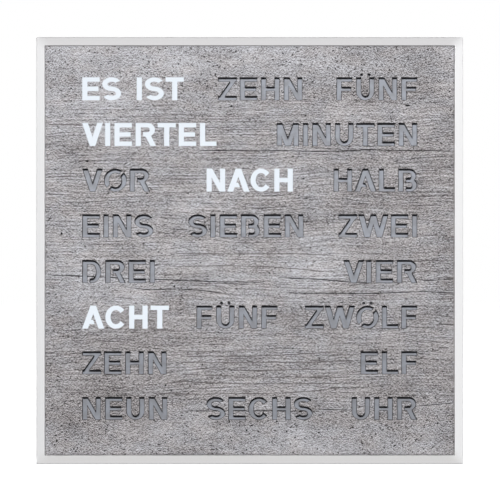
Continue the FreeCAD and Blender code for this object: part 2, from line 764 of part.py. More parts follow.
def make_cover():
    width, height = opening_width - 2 * cover_gap, opening_height - 2 * cover_gap
    bottom = middle_z - height / 2
    channel_reach = channel_width / 2 + channel_wall
    boss_front = cover_back - hanger_screw_reach - hanger_boss_floor
    solids = [slab(0, middle_z, width, height, cover_front, cover_back)]
    solids.append(block(-channel_reach, channel_reach, channel_floor - channel_wall, cover_front,
                        bottom, channel_top + channel_wall))
    solids.append(slab(cell_x, cell_z, door_opening_width + 2 * bay_wall, door_opening_height + 2 * bay_wall,
                       control_back + board_clearance, cover_front))
    solids += [keyhole_pocket(x, pocket_wall, cover_back - pocket_depth - pocket_wall, cover_front)
               for x in hanger_places]
    solids += [rod(hanger_boss_radius, x, z, boss_front, cover_front) for x, z in hanger_screw_places]
    cover = join(solids)

    holes = [block(-channel_width / 2, channel_width / 2, channel_floor, cover_back + 1, bottom - 1, channel_top)]
    holes.append(lying_rod(inlet_nose_radius + inlet_nose_gap, channel_top - 1, channel_top + channel_wall + 1))
    holes.append(slab(cell_x, cell_z, door_opening_width, door_opening_height,
                      control_back + board_clearance - 1, cover_back + 1))
    holes += [keyhole_pocket(x, 0, cover_back - pocket_depth, cover_back + 1) for x in hanger_places]
    holes += [rod(small_shank_radius + pilot_gap, x, z, boss_front + hanger_boss_floor, cover_back + 1)
              for x, z in hanger_screw_places]
    holes += [rod(cover_shank_radius + shank_gap, x, z, cover_front - 1, cover_back + 1) for x, z in cover_post_places]
    holes += [rod(button_radius + button_gap, x, button_z, cover_front - 1, cover_back + 1) for x in button_places]
    holes.append(hinge_rod(hinge_pin_radius, door_opening_width / 2 + bay_wall + 1))
    holes.append(rod(scoop_radius, cell_x, cell_z - door_opening_height / 2, cover_back - scoop_depth, cover_back + 1))
    cover = cover.cut(holes)

    rest_bottom = cell_z - door_opening_height / 2
    rest_back = cover_front - door_rest_gap
    rest = block(cell_x - door_opening_width / 2, cell_x + door_opening_width / 2,
                 rest_back - door_rest_thickness, rest_back, rest_bottom, rest_bottom + door_rest_height)
    return join([cover, rest])


def make_door():
    """Flap with its hinge barrel along the upper edge and a friction nib on the lower one."""
    half = door_opening_width / 2 - door_gap
    bottom = cell_z - door_opening_height / 2 + door_gap
    flap = block(cell_x - half, cell_x + half, cover_front, cover_back, bottom, hinge_z)
    middle = (cover_front + cover_back) / 2
    nib = block(cell_x - nib_width / 2, cell_x + nib_width / 2, middle - nib_thickness / 2,
                middle + nib_thickness / 2, bottom - nib_reach, bottom)
    door = join([flap, hinge_rod(barrel_radius, half), nib])
    return door.cut(hinge_rod(hinge_pin_radius + hinge_running_gap, half + 1))


def make_hanger(x):
    low, high = hanger_low_screw_z - hanger_end, hanger_high_screw_z + hanger_end
    plate = block(x - hanger_width / 2, x + hanger_width / 2, cover_back, cover_back + hanger_thickness, low, high)
    corners = [edge for edge in plate.Edges if edge.BoundBox.YLength > hanger_thickness / 2]
    plate = plate.makeFillet(hanger_end / 2, corners)
    slot = block(x - keyhole_slot_radius, x + keyhole_slot_radius, cover_back - 1, cover_back + hanger_thickness + 1,
                 keyhole_z, keyhole_z + keyhole_length)
    holes = [slot]
    holes.append(rod(keyhole_radius, x, keyhole_z, cover_back - 1, cover_back + hanger_thickness + 1))
    holes.append(rod(keyhole_slot_radius, x, keyhole_z + keyhole_length, cover_back - 1,
                     cover_back + hanger_thickness + 1))
    holes += [rod(small_shank_radius + shank_gap, x, z, cover_back - 1, cover_back + hanger_thickness + 1)
              for z in (hanger_low_screw_z, hanger_high_screw_z)]
    return plate.cut(holes)


save("frame", make_frame())
save("face_panel", make_face_panel())
save("diffuser_sheet", slab(0, middle_z, ledge_opening_width - 2 * baffle_fit, ledge_opening_height - 2 * baffle_fit,
                            face_back, diffuser_back))
save("light_baffle", make_baffle())
save("lamps_of_lit_words", *make_lamps(True))
save("lamps_of_dark_words", *make_lamps(False))
save("lamp_board", make_lamp_board())
save("lamp_board_screws", *[screw(x, z, small_shank_radius, board_screw_reach, small_head_radius,
                                  board_head_height, lamp_board_back) for x, z in board_post_places])

save("control_board", make_control_board())
save("board_standoffs", *make_standoffs())
save("control_board_screws", *[screw(x, z, small_shank_radius, control_thickness + standoff_height,
                                     small_head_radius, board_head_height, control_back)
                               for x, z in control_screw_places])
save("microcontroller", chip(first_button_x / 2, control_middle, controller_size, controller_size, chip_height))
save("lamp_driver_chips", *[chip(first_button_x / 2 + step * driver_spacing, control_middle, driver_width,
                                 driver_length, chip_height) for step in (1, 2)])
save("quartz_crystal", make_crystal())
save("smoothing_capacitors", *make_capacitors())
save("link_header", make_header())
save("power_inlet", make_inlet())
save("inlet_pin", make_inlet_pin())

save("switch_bodies", *[make_switch_body(x) for x in button_places])
for button_name, button_x in zip(("hour", "minute", "brightness"), button_places):
    save(button_name + "_button", make_button(button_x))
    save(button_name + "_plunger", make_plunger(button_x))

save("cell_holder", make_cell_holder())
save("backup_cell", make_cell())
save("cell_clip", make_cell_clip())
save("battery_door", make_door())
save("door_hinge_pin", hinge_rod(hinge_pin_radius, door_opening_width / 2 + bay_wall))

save("rear_cover", make_cover())
save("cover_screws", *[screw(x, z, cover_shank_radius, cover_screw_reach, cover_head_radius, cover_head_height,
                             cover_back) for x, z in cover_post_places])
save("hanger_plates", *[make_hanger(x) for x in hanger_places])
save("hanger_screws", *[screw(x, z, small_shank_radius, hanger_screw_reach + hanger_thickness, small_head_radius,
                              hanger_head_height, cover_back + hanger_thickness) for x, z in hanger_screw_places])
save("wall_pads", *[rod(pad_radius, x, z, cover_back, total_depth) for x, z in pad_places])
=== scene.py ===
import bpy
import bmesh
import math
import random
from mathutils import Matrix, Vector
from mathutils.bvhtree import BVHTree


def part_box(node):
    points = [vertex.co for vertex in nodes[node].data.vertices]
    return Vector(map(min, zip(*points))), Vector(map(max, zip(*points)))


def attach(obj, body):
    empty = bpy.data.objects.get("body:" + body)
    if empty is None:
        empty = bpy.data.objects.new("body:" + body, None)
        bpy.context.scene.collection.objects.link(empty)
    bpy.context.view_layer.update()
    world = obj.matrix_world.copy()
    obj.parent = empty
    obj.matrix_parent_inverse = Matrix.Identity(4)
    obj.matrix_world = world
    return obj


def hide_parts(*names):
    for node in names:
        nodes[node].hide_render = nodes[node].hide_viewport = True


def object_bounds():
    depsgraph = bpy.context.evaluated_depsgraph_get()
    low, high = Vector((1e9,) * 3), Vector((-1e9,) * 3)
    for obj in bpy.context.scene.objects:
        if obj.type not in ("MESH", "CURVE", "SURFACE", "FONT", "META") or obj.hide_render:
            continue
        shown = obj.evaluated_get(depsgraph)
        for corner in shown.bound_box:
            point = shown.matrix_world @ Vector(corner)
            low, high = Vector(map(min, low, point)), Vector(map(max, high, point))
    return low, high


# lengths are in metres, apart from those of the stone face, which are in millimetres

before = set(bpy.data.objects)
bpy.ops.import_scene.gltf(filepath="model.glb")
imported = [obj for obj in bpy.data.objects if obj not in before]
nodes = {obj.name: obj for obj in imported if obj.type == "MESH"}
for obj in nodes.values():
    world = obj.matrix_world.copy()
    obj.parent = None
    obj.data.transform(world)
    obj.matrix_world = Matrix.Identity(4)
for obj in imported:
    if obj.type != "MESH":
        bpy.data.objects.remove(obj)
cadLow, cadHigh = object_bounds()
panelLow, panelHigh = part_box("face_panel")
frontY = cadLow.y
stoneY = panelLow.y
middleZ = (cadLow.z + cadHigh.z) / 2
closeBy = 0.0001              # levels nearer to each other than this count as one
print("frame loaded with", len(nodes), "nodes")

scene = bpy.context.scene
scene.view_settings.view_transform = "Standard"


# small tools for colours and node trees

def colour(red, green, blue):
    # screen values from 0 to 255 as a linear colour
    def linear(value):
        share = value / 255
        return share / 12.92 if share <= 0.04045 else ((share + 0.055) / 1.055) ** 2.4
    return (linear(red), linear(green), linear(blue), 1.0)


def grey(value):
    return (value, value, value, 1)


def place(tree, kind, feeds=None, **settings):
    # adds a node, sets its options, then fills its inputs with values or links
    node = tree.nodes.new(kind)
    for name, value in settings.items():
        setattr(node, name, value)
    for key, value in (feeds or {}).items():
        if isinstance(value, bpy.types.NodeSocket):
            tree.links.new(value, node.inputs[key])
        else:
            node.inputs[key].default_value = value
    return node


def maths(tree, operation, first, second=0.0, clamp=False):
    feeds = {0: first, 1: second}
    return place(tree, "ShaderNodeMath", feeds, operation=operation, use_clamp=clamp).outputs[0]


def times(tree, first, second):
    return maths(tree, "MULTIPLY", first, second)


def added(tree, first, second):
    return maths(tree, "ADD", first, second)


def scaledTo(tree, value, gain, start, clamp=False):
    # the value times the gain, on top of the start
    feeds = {0: value, 1: gain, 2: start}
    return place(tree, "ShaderNodeMath", feeds, operation="MULTIPLY_ADD", use_clamp=clamp).outputs[0]


def swing(tree, value, gain):
    # a value from 0 to 1 as a swing about 0, times the gain
    return times(tree, maths(tree, "SUBTRACT", value, 0.5), gain)


def softStep(tree, value, low, high):
    feeds = {"Value": value, "From Min": low, "From Max": high}
    return place(tree, "ShaderNodeMapRange", feeds, interpolation_type="SMOOTHSTEP").outputs["Result"]


def splitVector(tree, vector):
    return place(tree, "ShaderNodeSeparateXYZ", {0: vector}).outputs


def vectorMaths(tree, operation, first, second=(0, 0, 0)):
    made = place(tree, "ShaderNodeVectorMath", {0: first, 1: second}, operation=operation).outputs
    return made["Value" if operation == "LENGTH" else "Vector"]


def blend(tree, share, first, second, mode="MIX"):
    feeds = {0: share, 6: first, 7: second}
    return place(tree, "ShaderNodeMix", feeds, data_type="RGBA", blend_type=mode).outputs[2]


def tinted(tree, tone, tint):
    return blend(tree, 1.0, tone, tint, "MULTIPLY")


def shaded(tree, tone, mask, low, high):
    # the tone times a grey that runs from low to high with the mask
    return tinted(tree, tone, blend(tree, mask, grey(low), grey(high)))


def stretched(tree, spot, steps):
    # the spot counted in so many steps to the unit along X, Y and Z
    return vectorMaths(tree, "MULTIPLY", spot, steps)


def scaled(tree, spot, size):
    # the spot counted in steps of the given size
    feeds = {0: spot, "Scale": maths(tree, "DIVIDE", 1.0, size)}
    return place(tree, "ShaderNodeVectorMath", feeds, operation="SCALE").outputs[0]


def noise(tree, spot, detail=2.0, roughness=0.5):
    feeds = {"Vector": spot, "Scale": 1.0, "Detail": detail, "Roughness": roughness}
    return place(tree, "ShaderNodeTexNoise", feeds).outputs[0]


def facing(tree):
    # which way the surface looks: X, Y and Z of its normal
    return splitVector(tree, place(tree, "ShaderNodeTexCoord").outputs["Normal"])


def fromMiddle(tree, spot):
    # how far right of and above the clock's middle a spot is, and the larger of the two without its sign
    parts = splitVector(tree, spot)
    upward = maths(tree, "SUBTRACT", parts["Z"], middleZ)
    outward = maths(tree, "MAXIMUM", maths(tree, "ABSOLUTE", parts["X"]), maths(tree, "ABSOLUTE", upward))
    return parts["X"], upward, outward


def startGroup(name, inputs, outputs):
    tree = bpy.data.node_groups.new(name, "ShaderNodeTree")
    kinds = {"vector": "NodeSocketVector", "value": "NodeSocketFloat", "colour": "NodeSocketColor"}
    for socketName, kind, default in inputs:
        socket = tree.interface.new_socket(socketName, in_out="INPUT", socket_type=kinds[kind])
        if default is not None:
            socket.default_value = default
    for socketName, kind in outputs:
        tree.interface.new_socket(socketName, in_out="OUTPUT", socket_type=kinds[kind])
    return tree, tree.nodes.new("NodeGroupInput").outputs, tree.nodes.new("NodeGroupOutput")


def useGroup(tree, group, feeds):
    return place(tree, "ShaderNodeGroup", feeds, node_tree=group).outputs


def startMaterial(name, roughness=0.6, metallic=0.0, specular=0.5):
    material = bpy.data.materials.new(name)
    material.use_nodes = True
    tree = material.node_tree
    shader = tree.nodes["Principled BSDF"]
    shader.inputs["Roughness"].default_value = roughness
    shader.inputs["Metallic"].default_value = metallic
    shader.inputs["Specular IOR Level"].default_value = specular
    spot = place(tree, "ShaderNodeTexCoord").outputs["Object"]
    return material, tree, shader, spot


def addBump(tree, shader, height, distance, strength):
    bump = place(tree, "ShaderNodeBump", {"Height": height, "Distance": distance, "Strength": strength})
    tree.links.new(bump.outputs["Normal"], shader.inputs["Normal"])


def roughenBy(tree, shader, mask, low, high):
    # roughness that runs from low to high with the mask
    feeds = {"Value": mask, "To Min": low, "To Max": high}
    tree.links.new(place(tree, "ShaderNodeMapRange", feeds).outputs["Result"], shader.inputs["Roughness"])


def wear(node, material):
    # gives a node from the frame its finish
    materials = nodes[node].data.materials
    for index in range(len(materials)):
        materials[index] = material


# camera, floor and lamps

view = {
    "distance": 2.0,          # from the lens to the front of the clock
    "width": 0.3513,          # what the picture takes in at the front of the clock
    "aside": 0.0002,          # the lens, to the right of the clock's middle
    "height": 0.1504,         # the lens, above the clock's foot
    "reach": 50,              # how far the camera sees
}


def setCamera():
    camera = bpy.data.objects.new("camera", bpy.data.cameras.new("camera"))
    scene.collection.objects.link(camera)
    camera.data.lens = camera.data.sensor_width * view["distance"] / view["width"]
    camera.location = (view["aside"], frontY - view["distance"], view["height"])
    camera.rotation_euler = (math.radians(90), 0, 0)
    camera.data.clip_end = view["reach"]
    scene.camera = camera
    print("camera set")


# tilt is in degrees above the horizon, aside in degrees from straight ahead of the face, to the right
# share is the part of full white that the lamp alone gives a sheet that faces it
lamps = {
    "keyLamp": {"tilt": 24, "aside": -3, "share": 1.06, "distance": 3.0, "width": 0.9, "height": 0.15},
    "backLamp": {"tilt": 38, "aside": 155, "share": 0.75, "distance": 2.2, "width": 1.2, "height": 1.2},
    "leftLamp": {"tilt": 15, "aside": -113, "share": 0.5, "distance": 2.2, "width": 0.8, "height": 1.2},
    "rightLamp": {"tilt": 15, "aside": 113, "share": 0.5, "distance": 2.2, "width": 0.8, "height": 1.2},
}


def addLamp(name, given):
    up = math.radians(given["tilt"])
    turn = math.radians(given["aside"])
    towards = Vector((math.sin(turn) * math.cos(up), -math.cos(turn) * math.cos(up), math.sin(up)))
    lamp = bpy.data.objects.new(name, bpy.data.lights.new(name, "AREA"))
    scene.collection.objects.link(lamp)
    lamp.data.shape = "RECTANGLE"
    lamp.data.size = given["width"]
    lamp.data.size_y = given["height"]
    lamp.data.energy = given["share"] * (math.pi * given["distance"]) ** 2
    lamp.location = Vector((0, 0, middleZ)) + towards * given["distance"]
    lamp.rotation_euler = (-towards).to_track_quat("-Z", "Y").to_euler()


studio = {
    "worldShare": 0.006,            # light from all around, as a part of full white
    "floorSize": 12.0,
    "floorDrop": 0.0002,            # keeps the floor just clear of the clock's foot
    "seenFloor": grey(0.36),
    "litFloor": grey(0.05),         # what the floor throws back at the clock
    "nearGlow": 0.90,
    "farGlow": 0.10,                # added far from the clock, between these two distances
    "farStep": (0.6, 1.6),
    "shadowGlow": -0.42,            # painted shadow: added behind the clock, where its shadow falls
    "shadowStart": (0.0, 0.03),     # from none to all of it behind the clock
    "shadowEnd": (0.9, 0.4),        # from none to all of it further back
    "shadowSide": (0.165, 0.12),    # from none to all of it on either side of the middle
}


def seenDirectly(tree):
    # 1 for what the eye sees straight on, in a mirror or through glass
    rays = place(tree, "ShaderNodeLightPath").outputs
    seen = added(tree, rays["Is Camera Ray"], rays["Is Glossy Ray"])
    return maths(tree, "ADD", seen, rays["Is Transmission Ray"], clamp=True)


def setWorld():
    world = bpy.data.worlds.new("studio")
    world.use_nodes = True
    scene.world = world
    tree = world.node_tree
    background = tree.nodes["Background"]
    background.inputs["Color"].default_value = grey(1)
    strength = maths(tree, "MAXIMUM", seenDirectly(tree), studio["worldShare"])
    tree.links.new(strength, background.inputs["Strength"])


def floorFinish():
    material, tree, shader, spot = startMaterial("paleFloor", roughness=1.0, specular=0.0)
    seen = seenDirectly(tree)
    tone = blend(tree, seen, studio["litFloor"], studio["seenFloor"])
    tree.links.new(tone, shader.inputs["Base Color"])
    parts = splitVector(tree, spot)
    aside = maths(tree, "ABSOLUTE", parts["X"])
    # painted shadow on the floor behind the clock
    shadow = softStep(tree, parts["Y"], *studio["shadowStart"])
    shadow = times(tree, shadow, softStep(tree, parts["Y"], *studio["shadowEnd"]))
    shadow = times(tree, shadow, softStep(tree, aside, *studio["shadowSide"]))
    far = softStep(tree, vectorMaths(tree, "LENGTH", spot), *studio["farStep"])
    glow = scaledTo(tree, far, studio["farGlow"], studio["nearGlow"])
    glow = scaledTo(tree, shadow, studio["shadowGlow"], glow)
    shader.inputs["Emission Color"].default_value = grey(1)
    tree.links.new(times(tree, seen, glow), shader.inputs["Emission Strength"])
    return material


def setFloor():
    half = studio["floorSize"] / 2
    corners = [(-half, -half, 0), (half, -half, 0), (half, half, 0), (-half, half, 0)]
    mesh = bpy.data.meshes.new("floor")
    mesh.from_pydata(corners, [], [(0, 1, 2, 3)])
    mesh.materials.append(floorFinish())
    floor = bpy.data.objects.new("floor", mesh)
    floor.location.z = cadLow.z - studio["floorDrop"]
    scene.collection.objects.link(floor)


setCamera()
setWorld()
setFloor()
for name, given in lamps.items():
    addLamp(name, given)
print("floor and", len(lamps), "lamps set")


# patterns that more than one finish uses

patterns = {
    "grainRoughness": 0.55,
    "dentSmoothness": 0.6,
    "blotchTurn": (0.35, 0.65),             # where the darker colour turns into the lighter one
    "scratchSteps": (0.02, 1.0, 1.0),       # scratches are drawn out along X
    "scratchRoughness": 0.6,
    "cornerBlend": 0.007,                   # half the width of the soft change of tone at a corner
}


def makeFineGrain():
    # fine even grain of a sprayed or moulded surface
    inputs = [("Spot", "vector", None), ("Size", "value", 0.0006)]
    tree, given, result = startGroup("fineGrain", inputs, [("Value", "value")])
    value = noise(tree, scaled(tree, given["Spot"], given["Size"]), roughness=patterns["grainRoughness"])
    tree.links.new(value, result.inputs["Value"])
    return tree


def makeStipple():
    # small round dents of a spark-eroded mould
    inputs = [("Spot", "vector", None), ("Size", "value", 0.0008)]
    tree, given, result = startGroup("stipple", inputs, [("Value", "value")])
    spot = scaled(tree, given["Spot"], given["Size"])
    feeds = {"Vector": spot, "Scale": 1.0, "Smoothness": patterns["dentSmoothness"]}
    cells = place(tree, "ShaderNodeTexVoronoi", feeds, feature="SMOOTH_F1")
    tree.links.new(cells.outputs["Distance"], result.inputs["Value"])
    return tree


def makeBlotches():
    # broad uneven tone, from the darker to the lighter colour
    inputs = [("Spot", "vector", None), ("Size", "value", 0.03),
              ("Dark", "colour", None), ("Light", "colour", None)]
    tree, given, result = startGroup("blotches", inputs, [("Color", "colour")])
    value = noise(tree, scaled(tree, given["Spot"], given["Size"]), detail=3.0)
    tone = blend(tree, softStep(tree, value, *patterns["blotchTurn"]), given["Dark"], given["Light"])
    tree.links.new(tone, result.inputs["Color"])
    return tree


def makeBrushing():
    # fine parallel scratches along X
    inputs = [("Spot", "vector", None), ("Size", "value", 0.00025)]
    tree, given, result = startGroup("brushing", inputs, [("Value", "value")])
    drawnOut = stretched(tree, scaled(tree, given["Spot"], given["Size"]), patterns["scratchSteps"])
    value = noise(tree, drawnOut, detail=3.0, roughness=patterns["scratchRoughness"])
    tree.links.new(value, result.inputs["Value"])
    return tree


def fourSides(tree, across, upward, tones):
    # left, right, bottom and top in their own tones, softly joined at the corners
    left, right, bottom, top = tones
    half = cadHigh.x
    lead = maths(tree, "SUBTRACT", maths(tree, "ABSOLUTE", across), maths(tree, "ABSOLUTE", upward))
    upright = blend(tree, softStep(tree, across, -half, half), left, right)
    level = blend(tree, softStep(tree, upward, -half, half), bottom, top)
    soft = patterns["cornerBlend"]
    return blend(tree, softStep(tree, lead, -soft, soft), level, upright)


fineGrain = makeFineGrain()
stipple = makeStipple()
blotches = makeBlotches()
brushing = makeBrushing()
print("shared patterns made")


# diffuser: a frosted sheet behind the letters, bright behind the lit words with a painted glow that stands
# in for the lamps shining through it

diffuser = {
    "unlit": colour(165, 169, 178),
    "unlitDark": colour(153, 155, 161),
    "unlitSize": 0.006,
    "lowShade": grey(0.82),         # painted shade: how the unlit sheet darkens towards the foot
    "lowStep": (0.22, 0.04),        # from none to all of it, in height
    # painted glow of the sheet where the lamps behind it shine through
    "lit": colour(236, 243, 251),
    "cellReach": 0.0095,            # from the last lamp to the edge of the lit stretch
    "cellHalf": 0.0125,             # half its height
    "rowGap": 0.012,                # lamps further apart in height belong to different rows
    "roughness": 0.8,
}


def litStretches():
    # the box of each row of lit lamps: left, right and middle height
    spots = [vert.co for vert in nodes["lamps_of_lit_words"].data.vertices]
    spots.sort(key=lambda spot: spot.z)
    rows = [[spots[0]]]
    for spot in spots[1:]:
        if spot.z - rows[-1][-1].z > diffuser["rowGap"]:
            rows.append([])
        rows[-1].append(spot)
    stretches = []
    for row in rows:
        left = min(spot.x for spot in row) - diffuser["cellReach"]
        right = max(spot.x for spot in row) + diffuser["cellReach"]
        stretches.append((left, right, sum(spot.z for spot in row) / len(row)))
    return stretches


def isLit(x, z, stretches):
    # true for a spot on the face that lies in one of the lit stretches
    half = diffuser["cellHalf"]
    return any(left < x < right and abs(z - height) < half for left, right, height in stretches)


def makeCellMask():
    # 1 inside a box on the face, 0 outside it
    inputs = [("Spot", "vector", None)] + [(name, "value", 0.0) for name in ("Left", "Right", "Height")]
    tree, given, result = startGroup("cellMask", inputs, [("Value", "value")])
    parts = splitVector(tree, given["Spot"])
    away = maths(tree, "ABSOLUTE", maths(tree, "SUBTRACT", parts["Z"], given["Height"]))
    inside = maths(tree, "LESS_THAN", away, diffuser["cellHalf"])
    inside = times(tree, inside, maths(tree, "GREATER_THAN", parts["X"], given["Left"]))
    inside = times(tree, inside, maths(tree, "LESS_THAN", parts["X"], given["Right"]))
    tree.links.new(inside, result.inputs["Value"])
    return tree


def dressDiffuser():
    cellMask = makeCellMask()
    material, tree, shader, spot = startMaterial("frostedSheet", diffuser["roughness"], specular=0.05)
    lit = 0.0
    for left, right, height in litStretches():
        feeds = {"Spot": spot, "Left": left, "Right": right, "Height": height}
        lit = maths(tree, "ADD", useGroup(tree, cellMask, feeds)["Value"], lit, clamp=True)
    feeds = {"Spot": spot, "Size": diffuser["unlitSize"],
             "Dark": diffuser["unlitDark"], "Light": diffuser["unlit"]}
    tone = useGroup(tree, blotches, feeds)["Color"]
    # painted shade, darker towards the foot
    low = softStep(tree, splitVector(tree, spot)["Z"], *diffuser["lowStep"])
    tone = tinted(tree, tone, blend(tree, low, grey(1), diffuser["lowShade"]))
    tree.links.new(blend(tree, lit, tone, grey(0)), shader.inputs["Base Color"])
    # painted glow: the sheet itself glows behind the lit words
    tree.links.new(blend(tree, lit, grey(0), diffuser["lit"]), shader.inputs["Emission Color"])
    shader.inputs["Emission Strength"].default_value = 1.0
    material.cycles.emission_sampling = "NONE"
    wear("diffuser_sheet", material)


# stone face: a copy of the stencilled panel with air holes and board marks cut into it
# all its lengths are in millimetres, and its spots count from the clock's middle and its foot

stone = {
    "dark": colour(52, 47, 47),
    "middle": colour(164.5, 162.2, 164.2),
    "light": colour(222, 222, 227),
    "warm": (1.022, 0.998, 0.982, 1),
    "cool": (0.992, 1.0, 1.014, 1),
    "warmTurn": (0.35, 0.65),       # where the cool tint turns into the warm one
    "patchWarmth": -4.0,            # how much warmer the darker places are
    "roughness": 0.92,
    "bump": (0.0002, 0.4),          # depth in metres, and strength
    "speckle": 1.35,                # contrast of the sand grain
    "dust": 1.15,                   # contrast of the dust between the sand
    "plain": 0.22,                  # contrast of the small patches
    "patch": 0.5,                   # contrast of the broad patches
    "fibre": 0.6,                   # contrast of the boards' fine fibre
    "fibreShares": (0.25, 0.75),    # of the fibre: everywhere, and more where the boards' marks lie
    "bandCore": 0.4,                # the part of a fibre band that shows it in full
    "bend": 12.0,                   # how far the fibres bend up and down
    "crispStep": (0, 0, 0.8),       # to the spot that sharpens the sand and the fibre
    "crispSand": 0.3,
    "crispFibre": 0.6,
    "lines": 0.30,                  # darkness of the boards' hairlines
    "lineGap": 4.4,                 # between the hairlines
    "lineStray": 1.8,               # how far they stray, counted in gaps
    "lineCrest": (0.82, 0.97),      # how much of the way between two of them stays plain
    "lineShown": (0.50, 0.66),      # where they come and go
    "grainTop": 268,                # the boards' marks lie between these heights
    "grainBottom": 40,
    "grainFade": 12,
    "pitTurn": (0.74, 0.79),        # grit from which a pit begins
    # painted shade in the pits
    "pitShade": 0.6,
    "pitsOnMarks": -0.3,            # pits are weaker where the boards' marks lie
    "paleTurn": (0.27, 0.20),       # grit below which a pale grain begins
    "paleGain": 0.16,
    "stainCore": 0.2,               # the part of a stain that shows it in full
    "rimShadeWidth": 1.8,                # of the darker rim of painted shade along the frame
    "rimShadeTones": (grey(0.97), grey(0.84), grey(0.66), grey(0.88)),   # painted shade on each side: left, right, bottom, top
}

# the noises of the stone: size along X, Y and Z, and detail
# the sand's size along Y keeps the face off a level at which this noise is flat
stoneNoises = {
    "sand": {"size": (0.68, 0.75, 0.47), "detail": 0.0},
    "dust": {"size": (0.25, 0.25, 0.25), "detail": 1.0},
    "grit": {"size": (1.35, 1.35, 1.2), "detail": 0.0},
    "plain": {"size": (11, 11, 6), "detail": 2.0, "roughness": 0.6},
    "broad": {"size": (38, 38, 24), "detail": 2.0},
    "warmth": {"size": (18, 18, 9), "detail": 2.0},
    "bend": {"size": (80, 80, 45), "detail": 1.0},
    "fibre": {"size": (30, 30, 0.85), "detail": 1.0},
    "stray": {"size": (60, 60, 14), "detail": 0.0},
    "shown": {"size": (20, 20, 4), "detail": 2.0},
}

# bands where the boards' fibre shows more or less: middle height, half height, added share
fibreBands = [(194.5, 14, 0.55), (239, 13, 0.40), (106, 12, -0.25), (128, 10, 0.15)]

# slow changes of tone over the whole face: along X or Z, where each begins and is complete, what it adds
slopes = [("Z", 250, 285, 0.07), ("X", 30, 140, -0.04), ("Z", 110, 60, -0.035), ("Z", 55, 20, 0.06)]

# broad paler and darker places: x, z, half width, half height, and what they add to the tone
stains = [
    (-112, 122, 50, 22, 0.07), (-100, 55, 75, 42, -0.09), (118, 200, 65, 50, -0.05),
    (-100, 245, 60, 22, 0.04), (85, 262, 60, 14, -0.05), (-75, 88, 40, 14, -0.05),
    (20, 18, 70, 16, 0.04), (-110, 186, 40, 20, -0.04), (45, 205, 30, 30, 0.03),
    (-100, 30, 60, 40, -0.08), (-58, 95, 34, 28, -0.09), (45, 138, 28, 56, 0.08),
    (115, 117, 38, 26, 0.07), (85, 262, 36, 15, -0.09), (-115, 126, 34, 22, 0.07),
    (-110, 242, 50, 16, 0.05), (-30, 80, 60, 14, -0.05),
]


def onStone(x, depth, z):
    # millimetres on the face and into the stone as a spot in the scene
    return Vector((x / 1000, stoneY + depth / 1000, z / 1000))


def stoneNoise(tree, spot, name):
    given = stoneNoises[name]
    steps = tuple(1 / size for size in given["size"])
    return noise(tree, stretched(tree, spot, steps), given["detail"], given.get("roughness", 0.5))


def crispNoise(tree, spot, name, share):
    # a noise, and its fine contrast about 0: the noise less a share of itself a little higher up
    here = stoneNoise(tree, spot, name)
    above = stoneNoise(tree, vectorMaths(tree, "ADD", spot, stone["crispStep"]), name)
    return here, scaledTo(tree, above, -share, maths(tree, "SUBTRACT", here, 0.5 - 0.5 * share))


def makeStonePattern():
    # tone around 0.5, height, and a mask that runs from cool to warm
    inputs = [("Spot", "vector", None)]
    inputs += [(name, "value", 1.0) for name in ("Speckle", "Fibre", "Lines", "Patch")]
    outputs = [("Tone", "value"), ("Height", "value"), ("Warmth", "value")]
    tree, given, result = startGroup("stonePattern", inputs, outputs)
    spot = stretched(tree, given["Spot"], (1000, 1000, 1000))     # in millimetres from here on
    parts = splitVector(tree, spot)

    # the boards' marks fade out towards the top and the foot
    top, bottom, fade = stone["grainTop"], stone["grainBottom"], stone["grainFade"]
    marked = softStep(tree, parts["Z"], bottom - fade, bottom + fade)
    marked = times(tree, marked, softStep(tree, parts["Z"], top + fade, top - fade))

    # the fibres bend up and down over the length of the board
    height = added(tree, parts["Z"], swing(tree, stoneNoise(tree, spot, "bend"), stone["bend"]))
    bent = place(tree, "ShaderNodeCombineXYZ", {0: parts["X"], 1: parts["Y"], 2: height}).outputs[0]
    fibre, fineFibre = crispNoise(tree, bent, "fibre", stone["crispFibre"])
    everywhere, onMarks = stone["fibreShares"]
    strength = scaledTo(tree, marked, onMarks, everywhere)
    for middle, half, share in fibreBands:
        away = maths(tree, "ABSOLUTE", maths(tree, "SUBTRACT", height, middle))
        strength = scaledTo(tree, softStep(tree, away, half, stone["bandCore"] * half), share, strength)

    # hairlines a few millimetres apart that come and go
    stray = swing(tree, stoneNoise(tree, bent, "stray"), stone["lineStray"])
    count = added(tree, maths(tree, "DIVIDE", height, stone["lineGap"]), stray)
    crest = times(tree, maths(tree, "PINGPONG", count, 0.5), 2.0)
    shown = times(tree, softStep(tree, stoneNoise(tree, bent, "shown"), *stone["lineShown"]), marked)
    hairline = times(tree, softStep(tree, crest, *stone["lineCrest"]), shown)

    # sand, dust, pits darkened with painted shade, and pale grains
    sand, fineSand = crispNoise(tree, spot, "sand", stone["crispSand"])
    grit = stoneNoise(tree, spot, "grit")
    pits = softStep(tree, grit, *stone["pitTurn"])
    pits = times(tree, pits, scaledTo(tree, marked, stone["pitsOnMarks"], 1.0))
    dust = swing(tree, stoneNoise(tree, spot, "dust"), stone["dust"])

    tone = added(tree, times(tree, fineSand, given["Speckle"]), dust)
    tone = added(tree, tone, times(tree, times(tree, fineFibre, given["Fibre"]), strength))
    tone = maths(tree, "SUBTRACT", tone, times(tree, hairline, given["Lines"]))
    tone = scaledTo(tree, pits, -stone["pitShade"], tone)
    tone = scaledTo(tree, softStep(tree, grit, *stone["paleTurn"]), stone["paleGain"], tone)
    tone = added(tree, tone, swing(tree, stoneNoise(tree, spot, "plain"), stone["plain"]))
    tone = added(tree, tone, swing(tree, stoneNoise(tree, spot, "broad"), given["Patch"]))
    tree.links.new(added(tree, tone, 0.5), result.inputs["Tone"])
    lumps = maths(tree, "SUBTRACT", added(tree, sand, fibre), added(tree, pits, hairline))
    tree.links.new(lumps, result.inputs["Height"])
    warmth = softStep(tree, stoneNoise(tree, spot, "warmth"), *stone["warmTurn"])
    tree.links.new(warmth, result.inputs["Warmth"])
    return tree


